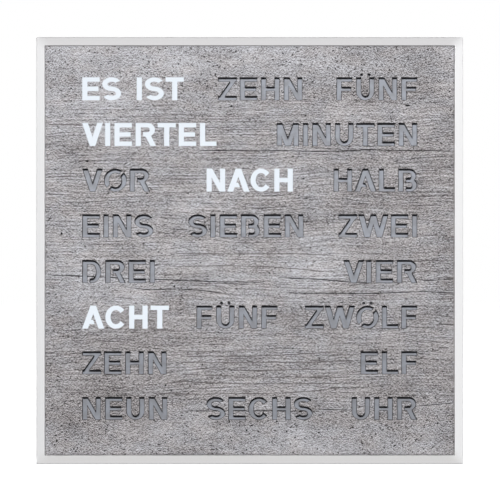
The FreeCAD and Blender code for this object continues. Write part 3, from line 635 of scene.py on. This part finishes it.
def makeStain():
    # 1 at the middle of a soft oval on the face, 0 from its rim on
    inputs = [(name, "vector", None) for name in ("Spot", "Middle", "Reach")]
    tree, given, result = startGroup("stain", inputs, [("Value", "value")])
    away = vectorMaths(tree, "SUBTRACT", given["Spot"], given["Middle"])
    away = vectorMaths(tree, "DIVIDE", away, given["Reach"])
    value = softStep(tree, vectorMaths(tree, "LENGTH", away), 1.0, stone["stainCore"])
    tree.links.new(value, result.inputs["Value"])
    return tree


def stoneRamp(tree, tone):
    ramp = place(tree, "ShaderNodeValToRGB", {"Fac": tone})
    ends = ramp.color_ramp.elements
    ends[0].color = stone["dark"]
    ends[1].color = stone["light"]
    ends.new(0.5).color = stone["middle"]
    return ramp.outputs["Color"]


def makeStoneFinish():
    material, tree, shader, spot = startMaterial("castStone", stone["roughness"], specular=0.1)
    feeds = {name: stone[name.lower()] for name in ("Speckle", "Fibre", "Lines", "Patch")}
    made = useGroup(tree, makeStonePattern(), {"Spot": spot, **feeds})
    parts = splitVector(tree, spot)
    patch = 0.0
    for way, start, end, share in slopes:
        patch = scaledTo(tree, softStep(tree, parts[way], start / 1000, end / 1000), share, patch)
    stain = makeStain()
    for x, z, halfWidth, halfHeight, share in stains:
        reach = (halfWidth / 1000, 1.0, halfHeight / 1000)
        feeds = {"Spot": spot, "Middle": onStone(x, 0, z), "Reach": reach}
        patch = scaledTo(tree, useGroup(tree, stain, feeds)["Value"], share, patch)

    # painted shade: a darker rim where the panel meets the frame, darkest along the bottom
    across, upward, outward = fromMiddle(tree, spot)
    rim = softStep(tree, outward, panelHigh.x - stone["rimShadeWidth"] / 1000, panelHigh.x)
    rim = blend(tree, rim, grey(1), fourSides(tree, across, upward, stone["rimShadeTones"]))
    warmth = scaledTo(tree, patch, stone["patchWarmth"], made["Warmth"], clamp=True)
    tint = tinted(tree, blend(tree, warmth, stone["cool"], stone["warm"]), rim)
    tone = stoneRamp(tree, added(tree, made["Tone"], patch))
    tree.links.new(tinted(tree, tone, tint), shader.inputs["Base Color"])
    addBump(tree, shader, made["Height"], *stone["bump"])
    return material


# stone inside the cuts: a tint for each kind of cut, and how far it strays from that

cutStone = {
    "wall": {"name": "cutWall", "tint": colour(138, 135, 137), "spread": 0.3},
    # painted shade: the air holes are near black inside
    "pore": {"name": "airHole", "tint": colour(18, 17, 18), "spread": 0.4},
    "seam": {"name": "boardJoint", "tint": colour(46, 44, 45), "spread": 0.25},
    "ring": {"name": "yearRing", "tint": colour(108, 103, 103), "spread": 0.15},
    # painted shade: the broken front edges of the letters are near black; those of lit letters glow over
    # that
    "edge": {"name": "letterEdge", "tint": colour(42, 42, 44), "spread": 0.2},
    "litEdge": {"name": "litEdge", "tint": colour(42, 42, 44), "spread": 0.2},
}

cutLook = {
    "grain": 0.8,
    "roughness": 0.95,
    "bump": (0.0002, 0.4),                  # depth in metres, and strength
    "underShadeTint": (0.11, 0.11, 0.12, 1),     # painted shade for the letter edges that look down
    "underTurn": (-0.2, -0.55),             # how far down those look
    "edgeGlow": 0.86,                       # how bright the painted glow on the edges of lit letters is, beside the letters
}


def makeCutStone(name, tint, spread):
    material, tree, shader, spot = startMaterial(name, cutLook["roughness"], specular=0.05)
    grain = useGroup(tree, fineGrain, {"Spot": spot, "Size": cutLook["grain"] / 1000})["Value"]
    light = tuple(part * (1 + spread) for part in tint[:3]) + (1,)
    dark = tuple(part * (1 - spread) for part in tint[:3]) + (1,)
    tree.links.new(blend(tree, grain, dark, light), shader.inputs["Base Color"])
    addBump(tree, shader, grain, *cutLook["bump"])
    return material


def paintShadeUnder(material):
    # painted shade: makes the edges darker where they look down
    tree = material.node_tree
    tone = tree.nodes["Principled BSDF"].inputs["Base Color"]
    plain = tone.links[0].from_socket
    under = softStep(tree, facing(tree)["Z"], *cutLook["underTurn"])
    tree.links.new(tinted(tree, plain, blend(tree, under, grey(1), cutLook["underShadeTint"])), tone)


def paintLitGlow(material):
    # painted glow: the stone edges and walls of the lit letters glow with the letters' light
    shader = material.node_tree.nodes["Principled BSDF"]
    shader.inputs["Emission Color"].default_value = diffuser["lit"]
    shader.inputs["Emission Strength"].default_value = cutLook["edgeGlow"]
    material.cycles.emission_sampling = "NONE"


# board marks: width and depth of their grooves, length of a step and how far it may stray, and the
# points that each line runs through, as x and z

marks = {
    # joints of the form boards, as dark hairlines
    "seam": {"width": 0.7, "depth": 0.35, "step": 3.0, "stray": 0.16, "lines": [
        [(-35, 220.3), (10, 220.2), (65, 220.0), (82, 220.7), (143, 219.9)],
        [(-143, 132.9), (-118, 132.3), (-66, 129.7), (-21.5, 128.3), (10, 127.4)],
        [(20, 131.1), (38, 130.1), (54, 129.4), (67, 128.1), (85, 127.5)],
        [(116, 130.3), (125, 129.0), (143, 129.6)],
        [(-88, 124.3), (-72, 123.0), (-40, 122.8), (-28, 121.2), (-13, 119.3)],
        [(26, 120.6), (42, 119.9), (71, 119.5), (100, 120.2), (124, 121.1), (143, 120.3)],
        [(-45, 37.4), (-27, 37.4), (10, 37.2), (44, 37.0)],
        [(47, 38.6), (63, 38.3), (72, 37.9)],
        [(116, 40.3), (127, 41.7), (142, 42.7)],
    ]},
    # year rings that the boards left, softer and wider than the joints
    "ring": {"width": 0.75, "depth": 0.16, "step": 3.5, "stray": 0.22, "lines": [
        [(-50, 79.4), (-16, 78.9)],
        [(-49, 75.5), (20, 76.2), (59, 78.6)],
        [(-49, 71.3), (11, 71.0), (46, 71.7), (70, 73.2)],
        [(-40, 66.8), (8, 65.6), (54, 66.5)],
        [(-48, 63.2), (6, 60.8), (70, 61.4)],
        [(-55, 58.3), (-3, 56.5), (64, 56.3)],
        [(-70, 50.2), (-34, 48.9), (2, 49.7), (39, 50.8), (70, 54.2)],
        [(-56, 148.0), (-20, 147.9), (30, 147.4), (60, 146.2)],
        [(-54, 138.9), (-20, 139.6), (8, 138.5), (54, 135.6)],
        [(75, 143.0), (110, 142.3), (142, 142.9)],
        [(-143, 239.0), (-110, 238.2), (-80, 238.6), (-40, 236.9)],
        [(-143, 201.6), (-124, 201.9), (-96, 203.0)],
        [(60, 171.6), (100, 172.4), (140, 170.6)],
    ]},
}

grooves = {
    "seed": 11,                     # for the chance in the board marks and the air holes
    "strayKept": 0.8,               # how much of its stray a line carries on from step to step
    "lift": 0.05,                   # how far a cutter stands out of the face
    "tip": 0.35,                    # the width at both ends, as a part of the whole
    "tipGrowth": 0.25,              # how fast it grows from there, step by step
    "uneven": (0.6, 1.25),          # how the width varies from step to step
}


def wander(points, step, stray, rng):
    # walks along the points in short steps that stray a little up and down
    line = []
    offset = 0.0
    for (x0, z0), (x1, z1) in zip(points, points[1:]):
        count = max(1, round((x1 - x0) / step))
        for index in range(count):
            share = index / count
            line.append((x0 + (x1 - x0) * share, z0 + (z1 - z0) * share + offset))
            offset = grooves["strayKept"] * offset + rng.uniform(-stray, stray)
    line.append(points[-1])
    return line


def addFaces(cutter, faces, slotNumber):
    for corners in faces:
        cutter.faces.new(corners).material_index = slotNumber


def addGroove(cutter, line, width, depth, rng, slotNumber):
    # three-sided cutter along the line, thin at both ends, its third edge inside the stone
    lift = grooves["lift"]
    sections = []
    for index, (x, z) in enumerate(line):
        steps = min(index, len(line) - 1 - index)
        share = min(1.0, grooves["tip"] + grooves["tipGrowth"] * steps)
        size = width * share * rng.uniform(*grooves["uneven"])
        spots = ((x, -lift, z - size / 2), (x, -lift, z + size / 2), (x, depth, z))
        sections.append([cutter.verts.new(onStone(*spot)) for spot in spots])
    addFaces(cutter, (sections[0], list(reversed(sections[-1]))), slotNumber)
    for near, far in zip(sections, sections[1:]):
        for corner, after in ((0, 1), (1, 2), (2, 0)):
            addFaces(cutter, [(near[corner], far[corner], far[after], near[after])], slotNumber)


# air holes: some that stand out, and small ones where the plain concrete has them

pores = {
    "edge": 0.6,                    # solid stone kept around an air hole
    "margin": 1.2,                  # kept free along the panel's sides
    "gap": 0.35,                    # kept between two air holes
    "besideMark": 2.5,              # kept beyond the end of a board mark
    "overMark": 0.7,                # kept above and below a board mark
    # how many tries, and the heights between which they lie, in turn
    "scattered": ((220, ((262, 293), (7, 32), (262, 293))), (260, ((8, 292),))),
    "reach": 142,                   # how far they may lie from the middle
    "together": (1, 1, 1, 2, 3),    # how many lie side by side
    "besideBy": (1.8, 1.2),         # how far apart those are, across and upward
    "height": (0.55, 1.1),
    "stretch": (1.0, 1.6),          # width beside the height
    "lump": (0.82, 1.12),           # how far its corners stray, beside its size
    "depth": 0.6,                   # beside the smaller of width and height
    "lookFrom": 10,                 # the stone is looked for from this far in front of the face
}

# air holes that stand out: x, z, width, height
standingPores = [
    (-114.3, 212.8, 2.0, 1.9), (-125.4, 255.2, 1.3, 1.2), (-121.8, 259.5, 1.0, 1.0),
    (-105.0, 198.0, 1.2, 1.0), (-72.4, 286.6, 1.3, 1.2), (-71.0, 282.6, 1.6, 1.1),
    (-74.9, 284.2, 1.2, 1.0), (-63.3, 284.0, 1.5, 0.9), (-138.5, 283.2, 1.2, 1.2),
    (111.1, 251.9, 4.2, 1.1), (64.4, 283.0, 1.2, 1.1), (140.4, 261.9, 1.3, 1.0),
    (-12.9, 251.5, 1.5, 1.7), (-9.6, 290.2, 1.4, 1.3), (-25.5, 279.6, 1.3, 1.2),
    (39.2, 245.0, 1.5, 1.1), (-11.8, 230.0, 1.3, 1.1), (-9.0, 231.4, 1.0, 0.9),
    (-6.1, 230.8, 1.2, 1.0), (37.8, 200.6, 1.8, 1.2), (-72.0, 190.2, 1.9, 1.1),
    (-132.2, 161.9, 1.6, 2.2), (-137.2, 144.2, 1.3, 1.0), (-52.9, 125.0, 1.6, 1.5),
    (-136.1, 119.2, 1.3, 1.2), (-140.1, 114.6, 1.2, 1.1), (-131.1, 89.4, 1.5, 1.0),
    (-59.1, 55.3, 1.5, 1.4), (-56.2, 48.5, 1.7, 1.2), (-136.1, 20.2, 1.7, 1.3),
    (-123.6, 10.5, 1.5, 1.0), (-23.6, 82.4, 1.7, 1.0), (13.0, 77.1, 2.4, 0.9),
    (61.8, 78.6, 2.0, 0.9), (61.0, 62.1, 2.3, 0.9), (-2.1, 23.7, 1.6, 1.5),
    (117.8, 84.7, 1.4, 1.1), (122.1, 46.4, 1.2, 1.3), (130.4, 46.4, 1.3, 1.2),
    (132.2, 28.7, 2.8, 1.0), (42.2, 18.3, 1.0, 1.0), (38.6, 18.4, 1.0, 0.9),
    (-141.5, 64.6, 1.4, 1.0), (-21.6, 190.0, 1.2, 1.0),
]


def solidAround(tree, x, z, width, height):
    # true if the face is whole under the middle of a spot and at eight places just around it
    turns = [step * math.pi / 4 for step in range(8)]
    halfWidth = width / 2 + pores["edge"]
    halfHeight = height / 2 + pores["edge"]
    for across, upward in [(0, 0)] + [(math.cos(turn), math.sin(turn)) for turn in turns]:
        spot = onStone(x + across * halfWidth, -pores["lookFrom"], z + upward * halfHeight)
        hit = tree.ray_cast(spot, Vector((0, 1, 0)))[0]
        if hit is None or abs(hit.y - stoneY) > closeBy:
            return False
    return True


def choosePores(tree, markSpots, rng):
    left, right = panelLow.x * 1000 + pores["margin"], panelHigh.x * 1000 - pores["margin"]
    bottom, top = panelLow.z * 1000 + pores["margin"], panelHigh.z * 1000 - pores["margin"]
    kept = []

    def tryPore(x, z, width, height):
        for otherX, otherZ, otherWidth, otherHeight in kept:
            beside = abs(x - otherX) > (width + otherWidth) / 2 + pores["gap"]
            if not beside and abs(z - otherZ) <= (height + otherHeight) / 2 + pores["gap"]:
                return
        for markX, markZ in markSpots:
            beside = abs(x - markX) > width / 2 + pores["besideMark"]
            if not beside and abs(z - markZ) <= height / 2 + pores["overMark"]:
                return
        inside = left < x - width / 2 and x + width / 2 < right
        inside = inside and bottom < z - height / 2 and z + height / 2 < top
        if inside and solidAround(tree, x, z, width, height):
            kept.append((x, z, width, height))

    for pore in standingPores:
        tryPore(*pore)
    for count, bands in pores["scattered"]:
        for number in range(count):
            lowest, highest = bands[number % len(bands)]
            x = rng.uniform(-pores["reach"], pores["reach"])
            z = rng.uniform(lowest, highest)
            for copy in range(rng.choice(pores["together"])):
                height = rng.uniform(*pores["height"])
                nextX = x + rng.gauss(0, pores["besideBy"][0]) * copy
                nextZ = z + rng.gauss(0, pores["besideBy"][1]) * copy
                tryPore(nextX, nextZ, height * rng.uniform(*pores["stretch"]), height)
    return kept


def addPore(cutter, x, z, width, height, rng, slotNumber):
    # lumpy ball, half of it in front of the stone
    depth = min(width, height) * pores["depth"]
    made = bmesh.ops.create_icosphere(cutter, subdivisions=1, radius=1.0)
    for vert in made["verts"]:
        lump = rng.uniform(*pores["lump"])
        spotX = x + vert.co.x * lump * width / 2
        spotZ = z + vert.co.z * lump * height / 2
        vert.co = onStone(spotX, vert.co.y * depth, spotZ)
    for face in {face for vert in made["verts"] for face in vert.link_faces}:
        face.material_index = slotNumber


# letter edges: a funnel in each letter breaks its front edge at 45 degrees

arris = {
    "width": 0.27,                  # of the broken edge, and its depth
    "lift": 0.05,                   # how far the funnel stands out of the face
    "below": 0.06,                  # how far it goes on inside the letter
    "sharpest": 0.2,                # keeps pointed corners from running far out
    "widestLetter": 100,            # an outline wider than this is the panel's own
}


def outlineLoops(shape):
    # the closed outlines of the letters on the front, each with the stone on its left
    following = {}
    for edge in shape.edges:
        front = [face for face in edge.link_faces if face.normal.y < -0.9]
        walls = [face for face in edge.link_faces if abs(face.normal.y) < 0.5]
        if len(front) == 1 and len(walls) == 1 and edge.verts[0].co.y < stoneY + closeBy:
            corner = next(loop for loop in front[0].loops if loop.edge == edge)
            following[corner.vert] = corner.link_loop_next.vert
    loops = []
    while following:
        vert = next(iter(following))
        loop = []
        while vert in following:
            loop.append((vert.co.x * 1000, vert.co.z * 1000))
            vert = following.pop(vert)
        loops.append(loop)
    loops.sort(key=len)
    widths = [max(x for x, z in loop) - min(x for x, z in loop) for loop in loops]
    return [loop for loop, width in zip(loops, widths) if width < arris["widestLetter"]]


def grownLoop(loop, reach):
    # the outline moved into the stone, its corners kept sharp
    grown = []
    for index, (x, z) in enumerate(loop):
        sides = []
        for (x0, z0), (x1, z1) in ((loop[index - 1], (x, z)), ((x, z), loop[(index + 1) % len(loop)])):
            length = math.hypot(x1 - x0, z1 - z0)
            sides.append(((z0 - z1) / length, (x1 - x0) / length))
        (ax, az), (bx, bz) = sides
        share = reach / max(1 + ax * bx + az * bz, arris["sharpest"])
        grown.append((x + (ax + bx) * share, z + (az + bz) * share))
    return grown


def thinnedLoop(loop, reach):
    # drops the points where short steps would turn back once the outline has grown
    loop = list(loop)
    index = 0
    while index < len(loop):
        grown = grownLoop(loop, reach)
        (x0, z0), (x1, z1) = loop[index - 1], loop[index]
        (grownX0, grownZ0), (grownX1, grownZ1) = grown[index - 1], grown[index]
        if (x1 - x0) * (grownX1 - grownX0) + (z1 - z0) * (grownZ1 - grownZ0) > 0:
            index += 1
        else:
            del loop[index]
            index = max(0, index - 2)
    return loop


def addArris(cutter, loop, slotNumber):
    lift, below = arris["lift"], arris["below"]
    widest = arris["width"] + lift
    deepest = arris["width"] + below
    loop = thinnedLoop(loop, widest)
    outer = [cutter.verts.new(onStone(x, -lift, z)) for x, z in grownLoop(loop, widest)]
    inner = [cutter.verts.new(onStone(x, deepest, z)) for x, z in grownLoop(loop, -below)]
    addFaces(cutter, (outer, list(reversed(inner))), slotNumber)
    for index in range(len(outer)):
        before = index - 1
        addFaces(cutter, [(outer[before], inner[before], inner[index], outer[index])], slotNumber)


def joinCorners(shape, within=0.000001):
    # corners that lie side by side become one
    bmesh.ops.remove_doubles(shape, verts=shape.verts, dist=within)


def carve(panel, cutter):
    # takes the cutter away from the panel, with the cutter's finishes on the new faces
    bmesh.ops.recalc_face_normals(cutter, faces=cutter.faces)
    mesh = bpy.data.meshes.new("cutter")
    cutter.to_mesh(mesh)
    cutter.free()
    for finish in panel.data.materials:
        mesh.materials.append(finish)
    tool = bpy.data.objects.new("cutter", mesh)
    scene.collection.objects.link(tool)
    cut = panel.modifiers.new("cut", "BOOLEAN")
    cut.operation = "DIFFERENCE"
    cut.solver = "EXACT"
    cut.object = tool
    evaluated = panel.evaluated_get(bpy.context.evaluated_depsgraph_get())
    finished = bpy.data.meshes.new_from_object(evaluated)
    panel.modifiers.clear()
    panel.data = finished
    finished.name = "facePanel"
    bpy.data.objects.remove(tool)
    bpy.data.meshes.remove(mesh)
    shape = bmesh.new()
    shape.from_mesh(finished)
    joinCorners(shape)
    shape.to_mesh(finished)
    shape.free()


def breakLetterEdges(panel, outlines, lit, slotNumbers):
    cutter = bmesh.new()
    for loop in outlines:
        x, z = (sum(values) / len(loop) / 1000 for values in zip(*loop))
        addArris(cutter, loop, slotNumbers["litEdge" if isLit(x, z, lit) else "edge"])
    carve(panel, cutter)
    print("front edges of", len(outlines), "letter outlines broken")


def cutMarks(panel, tree, slotNumbers):
    rng = random.Random(grooves["seed"])
    cutter = bmesh.new()
    paths = {}
    for kind, given in marks.items():
        paths[kind] = [wander(points, given["step"], given["stray"], rng) for points in given["lines"]]
    for kind, given in marks.items():
        for path in paths[kind]:
            addGroove(cutter, path, given["width"], given["depth"], rng, slotNumbers[kind])
    markSpots = [spot for lines in paths.values() for path in lines for spot in path]
    chosen = choosePores(tree, markSpots, rng)
    for pore in chosen:
        addPore(cutter, *pore, rng, slotNumbers["pore"])
    carve(panel, cutter)
    print("board marks and", len(chosen), "air holes cut")


def makeFacePanel():
    mesh = nodes["face_panel"].data.copy()
    shape = bmesh.new()
    shape.from_mesh(mesh)
    joinCorners(shape)
    tree = BVHTree.FromBMesh(shape)
    outlines = outlineLoops(shape)
    shape.to_mesh(mesh)
    shape.free()
    mesh.materials.clear()
    panel = bpy.data.objects.new("facePanel", mesh)
    scene.collection.objects.link(panel)

    finishes = {"stone": makeStoneFinish()}
    for kind, given in cutStone.items():
        finishes[kind] = makeCutStone(**given)
    paintShadeUnder(finishes["edge"])
    paintLitGlow(finishes["litEdge"])
    slotNumbers = {name: number for number, name in enumerate(finishes)}
    for finish in finishes.values():
        mesh.materials.append(finish)
    lit = litStretches()
    # the walls of lit letters take the painted glow of their edges
    for face in mesh.polygons:
        wall = "litEdge" if isLit(face.center.x, face.center.z, lit) else "wall"
        face.material_index = slotNumbers["stone" if abs(face.normal.y) > 0.5 else wall]

    breakLetterEdges(panel, outlines, lit, slotNumbers)
    cutMarks(panel, tree, slotNumbers)
    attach(panel, "clock")
    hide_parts("face_panel")
    print("stone face made with", len(panel.data.polygons), "faces")


# frame: sprayed paint, with painted light and shade that give each side of the front its own tone

coat = {
    "plain": colour(229, 229, 230),         # the sides and the back
    # painted light and shade: the front, and the narrow lip along its outer edge, each side in the tone the
    # light gives it: left, right, bottom, top
    "face": (colour(229, 229, 230), colour(240, 240, 241), colour(217, 216, 216), colour(210, 209, 210)),
    "lip": (colour(221, 221, 222), colour(243, 243, 244), colour(255, 255, 255), colour(184, 183, 184)),
    "lipWidth": 0.0007,
    "innerLip": 0.0008,                     # width of a painted highlight, a lighter line along the panel
    "innerHighlight": grey(1.05),
    "frontDepth": 0.0009,                   # what lies this near to the front has the front's tones
    "grain": 0.0005,
    "grainShade": (0.95, 1.05),
    "bump": (0.00003, 0.4),                 # depth and strength
    "roughness": 0.62,
}


def dressFrame():
    material, tree, shader, spot = startMaterial("paintedFrame", coat["roughness"], specular=0.25)
    across, upward, outward = fromMiddle(tree, spot)
    outer = maths(tree, "GREATER_THAN", outward, cadHigh.x - coat["lipWidth"])
    inner = maths(tree, "LESS_THAN", outward, panelHigh.x + coat["innerLip"])
    front = maths(tree, "LESS_THAN", splitVector(tree, spot)["Y"], frontY + coat["frontDepth"])
    # painted light and shade: each side of the front and of its outer lip in its own tone, and a painted
    # highlight along the panel
    face = fourSides(tree, across, upward, coat["face"])
    face = blend(tree, inner, face, tinted(tree, face, coat["innerHighlight"]))
    face = blend(tree, outer, face, fourSides(tree, across, upward, coat["lip"]))
    tone = blend(tree, front, coat["plain"], face)
    grain = useGroup(tree, fineGrain, {"Spot": spot, "Size": coat["grain"]})["Value"]
    tree.links.new(shaded(tree, tone, grain, *coat["grainShade"]), shader.inputs["Base Color"])
    addBump(tree, shader, grain, *coat["bump"])
    wear("frame", material)


# moulded parts: colours, roughness, size and depth of the mould's texture

plastics = {
    "matteBaffle": {
        "nodes": ["light_baffle"],
        "dark": colour(20, 20, 21), "light": colour(34, 34, 36),
        "roughness": 0.85, "texture": 0.0009, "depth": 0.00006},
    "blackMoulding": {
        "nodes": ["link_header", "power_inlet", "switch_bodies", "cell_holder"],
        "dark": colour(22, 22, 24), "light": colour(36, 36, 38),
        "roughness": 0.5, "texture": 0.0004, "depth": 0.00002},
    "plungerMoulding": {
        "nodes": ["hour_plunger", "minute_plunger", "brightness_plunger"],
        "dark": colour(26, 26, 27), "light": colour(38, 38, 40),
        "roughness": 0.45, "texture": 0.0003, "depth": 0.00001},
    "buttonMoulding": {
        "nodes": ["hour_button", "minute_button", "brightness_button"],
        "dark": colour(146, 148, 151), "light": colour(166, 168, 170),
        "roughness": 0.5, "texture": 0.0004, "depth": 0.00003},
    "coverMoulding": {
        "nodes": ["rear_cover", "battery_door"],
        "dark": colour(70, 71, 73), "light": colour(77, 78, 80),
        "roughness": 0.62, "texture": 0.0009, "depth": 0.00008},
    "padRubber": {
        "nodes": ["wall_pads"],
        "dark": colour(24, 24, 25), "light": colour(38, 38, 39),
        "roughness": 0.9, "texture": 0.0005, "depth": 0.00005},
}

moulding = {
    "blotches": 0.022,
    "dentShade": (0.88, 1.1),
    "sheenSize": 0.004,
    "sheenSwing": 0.08,       # how far the roughness strays
    "bumpStrength": 0.7,
}


def makePlastic(name, given):
    material, tree, shader, spot = startMaterial(name, given["roughness"], specular=0.4)
    dents = useGroup(tree, stipple, {"Spot": spot, "Size": given["texture"]})["Value"]
    feeds = {"Spot": spot, "Size": moulding["blotches"], "Dark": given["dark"], "Light": given["light"]}
    tone = useGroup(tree, blotches, feeds)["Color"]
    tree.links.new(shaded(tree, tone, dents, *moulding["dentShade"]), shader.inputs["Base Color"])
    grain = useGroup(tree, fineGrain, {"Spot": spot, "Size": moulding["sheenSize"]})["Value"]
    stray = moulding["sheenSwing"]
    roughenBy(tree, shader, grain, given["roughness"] - stray, given["roughness"] + stray)
    addBump(tree, shader, dents, given["depth"], moulding["bumpStrength"])
    return material


# metal parts: colours, roughness, and the fineness of the brushed or drawn lines

metals = {
    "galvanisedPlate": {
        "nodes": ["hanger_plates"],
        "dark": colour(132, 134, 137), "light": colour(158, 160, 163), "roughness": 0.5, "lines": 0.0003},
    "zincPlate": {
        "nodes": ["hanger_screws", "cover_screws", "lamp_board_screws", "control_board_screws",
                  "door_hinge_pin"],
        "dark": colour(168, 169, 172), "light": colour(192, 193, 196), "roughness": 0.36, "lines": 0.00022},
    "turnedBrass": {
        "nodes": ["board_standoffs"],
        "dark": colour(186, 148, 78), "light": colour(206, 170, 98), "roughness": 0.3, "lines": 0.00015},
    "drawnCan": {
        "nodes": ["quartz_crystal"],
        "dark": colour(172, 172, 174), "light": colour(196, 196, 198), "roughness": 0.28, "lines": 0.00018},
    "capacitorCan": {
        "nodes": ["smoothing_capacitors"],
        "dark": colour(186, 187, 190), "light": colour(208, 209, 212), "roughness": 0.32, "lines": 0.00018},
    "contactNickel": {
        "nodes": ["inlet_pin", "cell_clip"],
        "dark": colour(180, 177, 171), "light": colour(204, 201, 195), "roughness": 0.25, "lines": 0.0002},
    "cellSteel": {
        "nodes": ["backup_cell"],
        "dark": colour(178, 179, 182), "light": colour(206, 207, 210), "roughness": 0.27, "lines": 0.0003},
}

drawing = {
    "blotches": 0.006,
    "lineShade": (0.9, 1.08),
    "sheenSwing": (-0.08, 0.12),    # how far the roughness strays
    "bump": (0.00001, 0.5),         # depth and strength
}


def makeMetal(name, given):
    material, tree, shader, spot = startMaterial(name, given["roughness"], metallic=1.0)
    feeds = {"Spot": spot, "Size": drawing["blotches"], "Dark": given["dark"], "Light": given["light"]}
    tone = useGroup(tree, blotches, feeds)["Color"]
    lines = useGroup(tree, brushing, {"Spot": spot, "Size": given["lines"]})["Value"]
    tree.links.new(shaded(tree, tone, lines, *drawing["lineShade"]), shader.inputs["Base Color"])
    down, up = drawing["sheenSwing"]
    roughenBy(tree, shader, lines, given["roughness"] + down, given["roughness"] + up)
    addBump(tree, shader, lines, *drawing["bump"])
    return material


# circuit boards: solder mask with the tracks showing through, bare laminate at the sawn edges

boards = {
    "whiteMask": {
        "nodes": ["lamp_board"],
        "mask": colour(226, 228, 226), "track": colour(238, 239, 236), "edge": colour(188, 178, 140),
        "gap": 0.0032},
    "greenMask": {
        "nodes": ["control_board"],
        "mask": colour(20, 84, 50), "track": colour(38, 112, 68), "edge": colour(150, 148, 96),
        "gap": 0.0018},
}

laminate = {
    "roughness": 0.38,
    "randomness": 0.55,
    "trackTurns": 0.22,             # half the distance from track to track, counted in gaps
    "trackSide": (0.13, 0.16),      # where the mask turns into the track
    "faceTurn": (0.4, 0.6),         # where an edge turns into a face
    "bump": (0.00003, 0.6),         # depth and strength
}


def makeBoard(name, given):
    material, tree, shader, spot = startMaterial(name, laminate["roughness"])
    steps = scaled(tree, spot, given["gap"])
    feeds = {"Vector": steps, "Scale": 1.0, "Randomness": laminate["randomness"]}
    cells = place(tree, "ShaderNodeTexVoronoi", feeds, feature="F1", distance="MANHATTAN")
    wave = maths(tree, "PINGPONG", cells.outputs["Distance"], laminate["trackTurns"])
    tracks = softStep(tree, wave, *laminate["trackSide"])
    tone = blend(tree, tracks, given["mask"], given["track"])
    face = softStep(tree, maths(tree, "ABSOLUTE", facing(tree)["Y"]), *laminate["faceTurn"])
    tree.links.new(blend(tree, face, given["edge"], tone), shader.inputs["Base Color"])
    addBump(tree, shader, tracks, *laminate["bump"])
    return material


# chips: moulded epoxy bodies between rows of tinned leads

chips = {
    "nodes": ["microcontroller", "lamp_driver_chips"],
    "dark": colour(26, 26, 28),
    "light": colour(42, 42, 44),
    "tin": colour(190, 190, 192),
    "grain": 0.0003,
    "bump": (0.00001, 0.5),         # depth and strength
    "roughness": 0.55,
}


def bodySpans(node):
    # from left to right, the stretches of X that the tops of the node's chips cover
    mesh = nodes[node].data
    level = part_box(node)[1].y - closeBy
    tops = []
    for face in mesh.polygons:
        spots = [mesh.vertices[number].co for number in face.vertices]
        if min(spot.y for spot in spots) > level:
            tops.append((min(spot.x for spot in spots), max(spot.x for spot in spots)))
    spans = []
    for left, right in sorted(tops):
        if spans and left <= spans[-1][1]:
            spans[-1][1] = max(spans[-1][1], right)
        else:
            spans.append([left, right])
    return spans


def makeChip(node):
    material, tree, shader, spot = startMaterial("chip_" + node, chips["roughness"])
    grain = useGroup(tree, fineGrain, {"Spot": spot, "Size": chips["grain"]})["Value"]
    body = blend(tree, grain, chips["dark"], chips["light"])
    along = splitVector(tree, spot)["X"]
    inside = 0.0
    for left, right in bodySpans(node):
        span = times(tree, maths(tree, "GREATER_THAN", along, left - closeBy),
                     maths(tree, "LESS_THAN", along, right + closeBy))
        inside = maths(tree, "MAXIMUM", span, inside)
    tree.links.new(blend(tree, inside, chips["tin"], body), shader.inputs["Base Color"])
    tree.links.new(maths(tree, "SUBTRACT", 1.0, inside), shader.inputs["Metallic"])
    addBump(tree, shader, grain, *chips["bump"])
    return material


# lamps: pale housings, a phosphor window on the side that faces the letters

lampFinish = {
    "housing": colour(232, 231, 226),
    "phosphor": colour(224, 206, 96),
    "glow": colour(240, 247, 255),
    "windowTurn": (-0.6, -0.9),     # where a side turns into the window
    "grain": 0.0004,
    "grainShade": (0.94, 1.05),
    "bump": (0.00001, 0.5),         # depth and strength
    "roughness": 0.45,
}


def makeLampFinish(name, lit):
    material, tree, shader, spot = startMaterial(name, lampFinish["roughness"])
    window = softStep(tree, facing(tree)["Y"], *lampFinish["windowTurn"])
    grain = useGroup(tree, fineGrain, {"Spot": spot, "Size": lampFinish["grain"]})["Value"]
    tone = blend(tree, window, lampFinish["housing"], lampFinish["phosphor"])
    tree.links.new(shaded(tree, tone, grain, *lampFinish["grainShade"]), shader.inputs["Base Color"])
    if lit:
        glow = blend(tree, window, grey(0), lampFinish["glow"])
        tree.links.new(glow, shader.inputs["Emission Color"])
        shader.inputs["Emission Strength"].default_value = 1.0
        material.cycles.emission_sampling = "NONE"
    addBump(tree, shader, grain, *lampFinish["bump"])
    return material


makeFacePanel()
dressFrame()
dressDiffuser()
print("frame and diffuser dressed")
for makeFinish, table in ((makePlastic, plastics), (makeMetal, metals), (makeBoard, boards)):
    for name, given in table.items():
        finish = makeFinish(name, given)
        for node in given["nodes"]:
            wear(node, finish)
    print("dressed:", ", ".join(table))
for node in chips["nodes"]:
    wear(node, makeChip(node))
wear("lamps_of_lit_words", makeLampFinish("lampLit", True))
wear("lamps_of_dark_words", makeLampFinish("lampDark", False))
print("chips and lamps dressed")
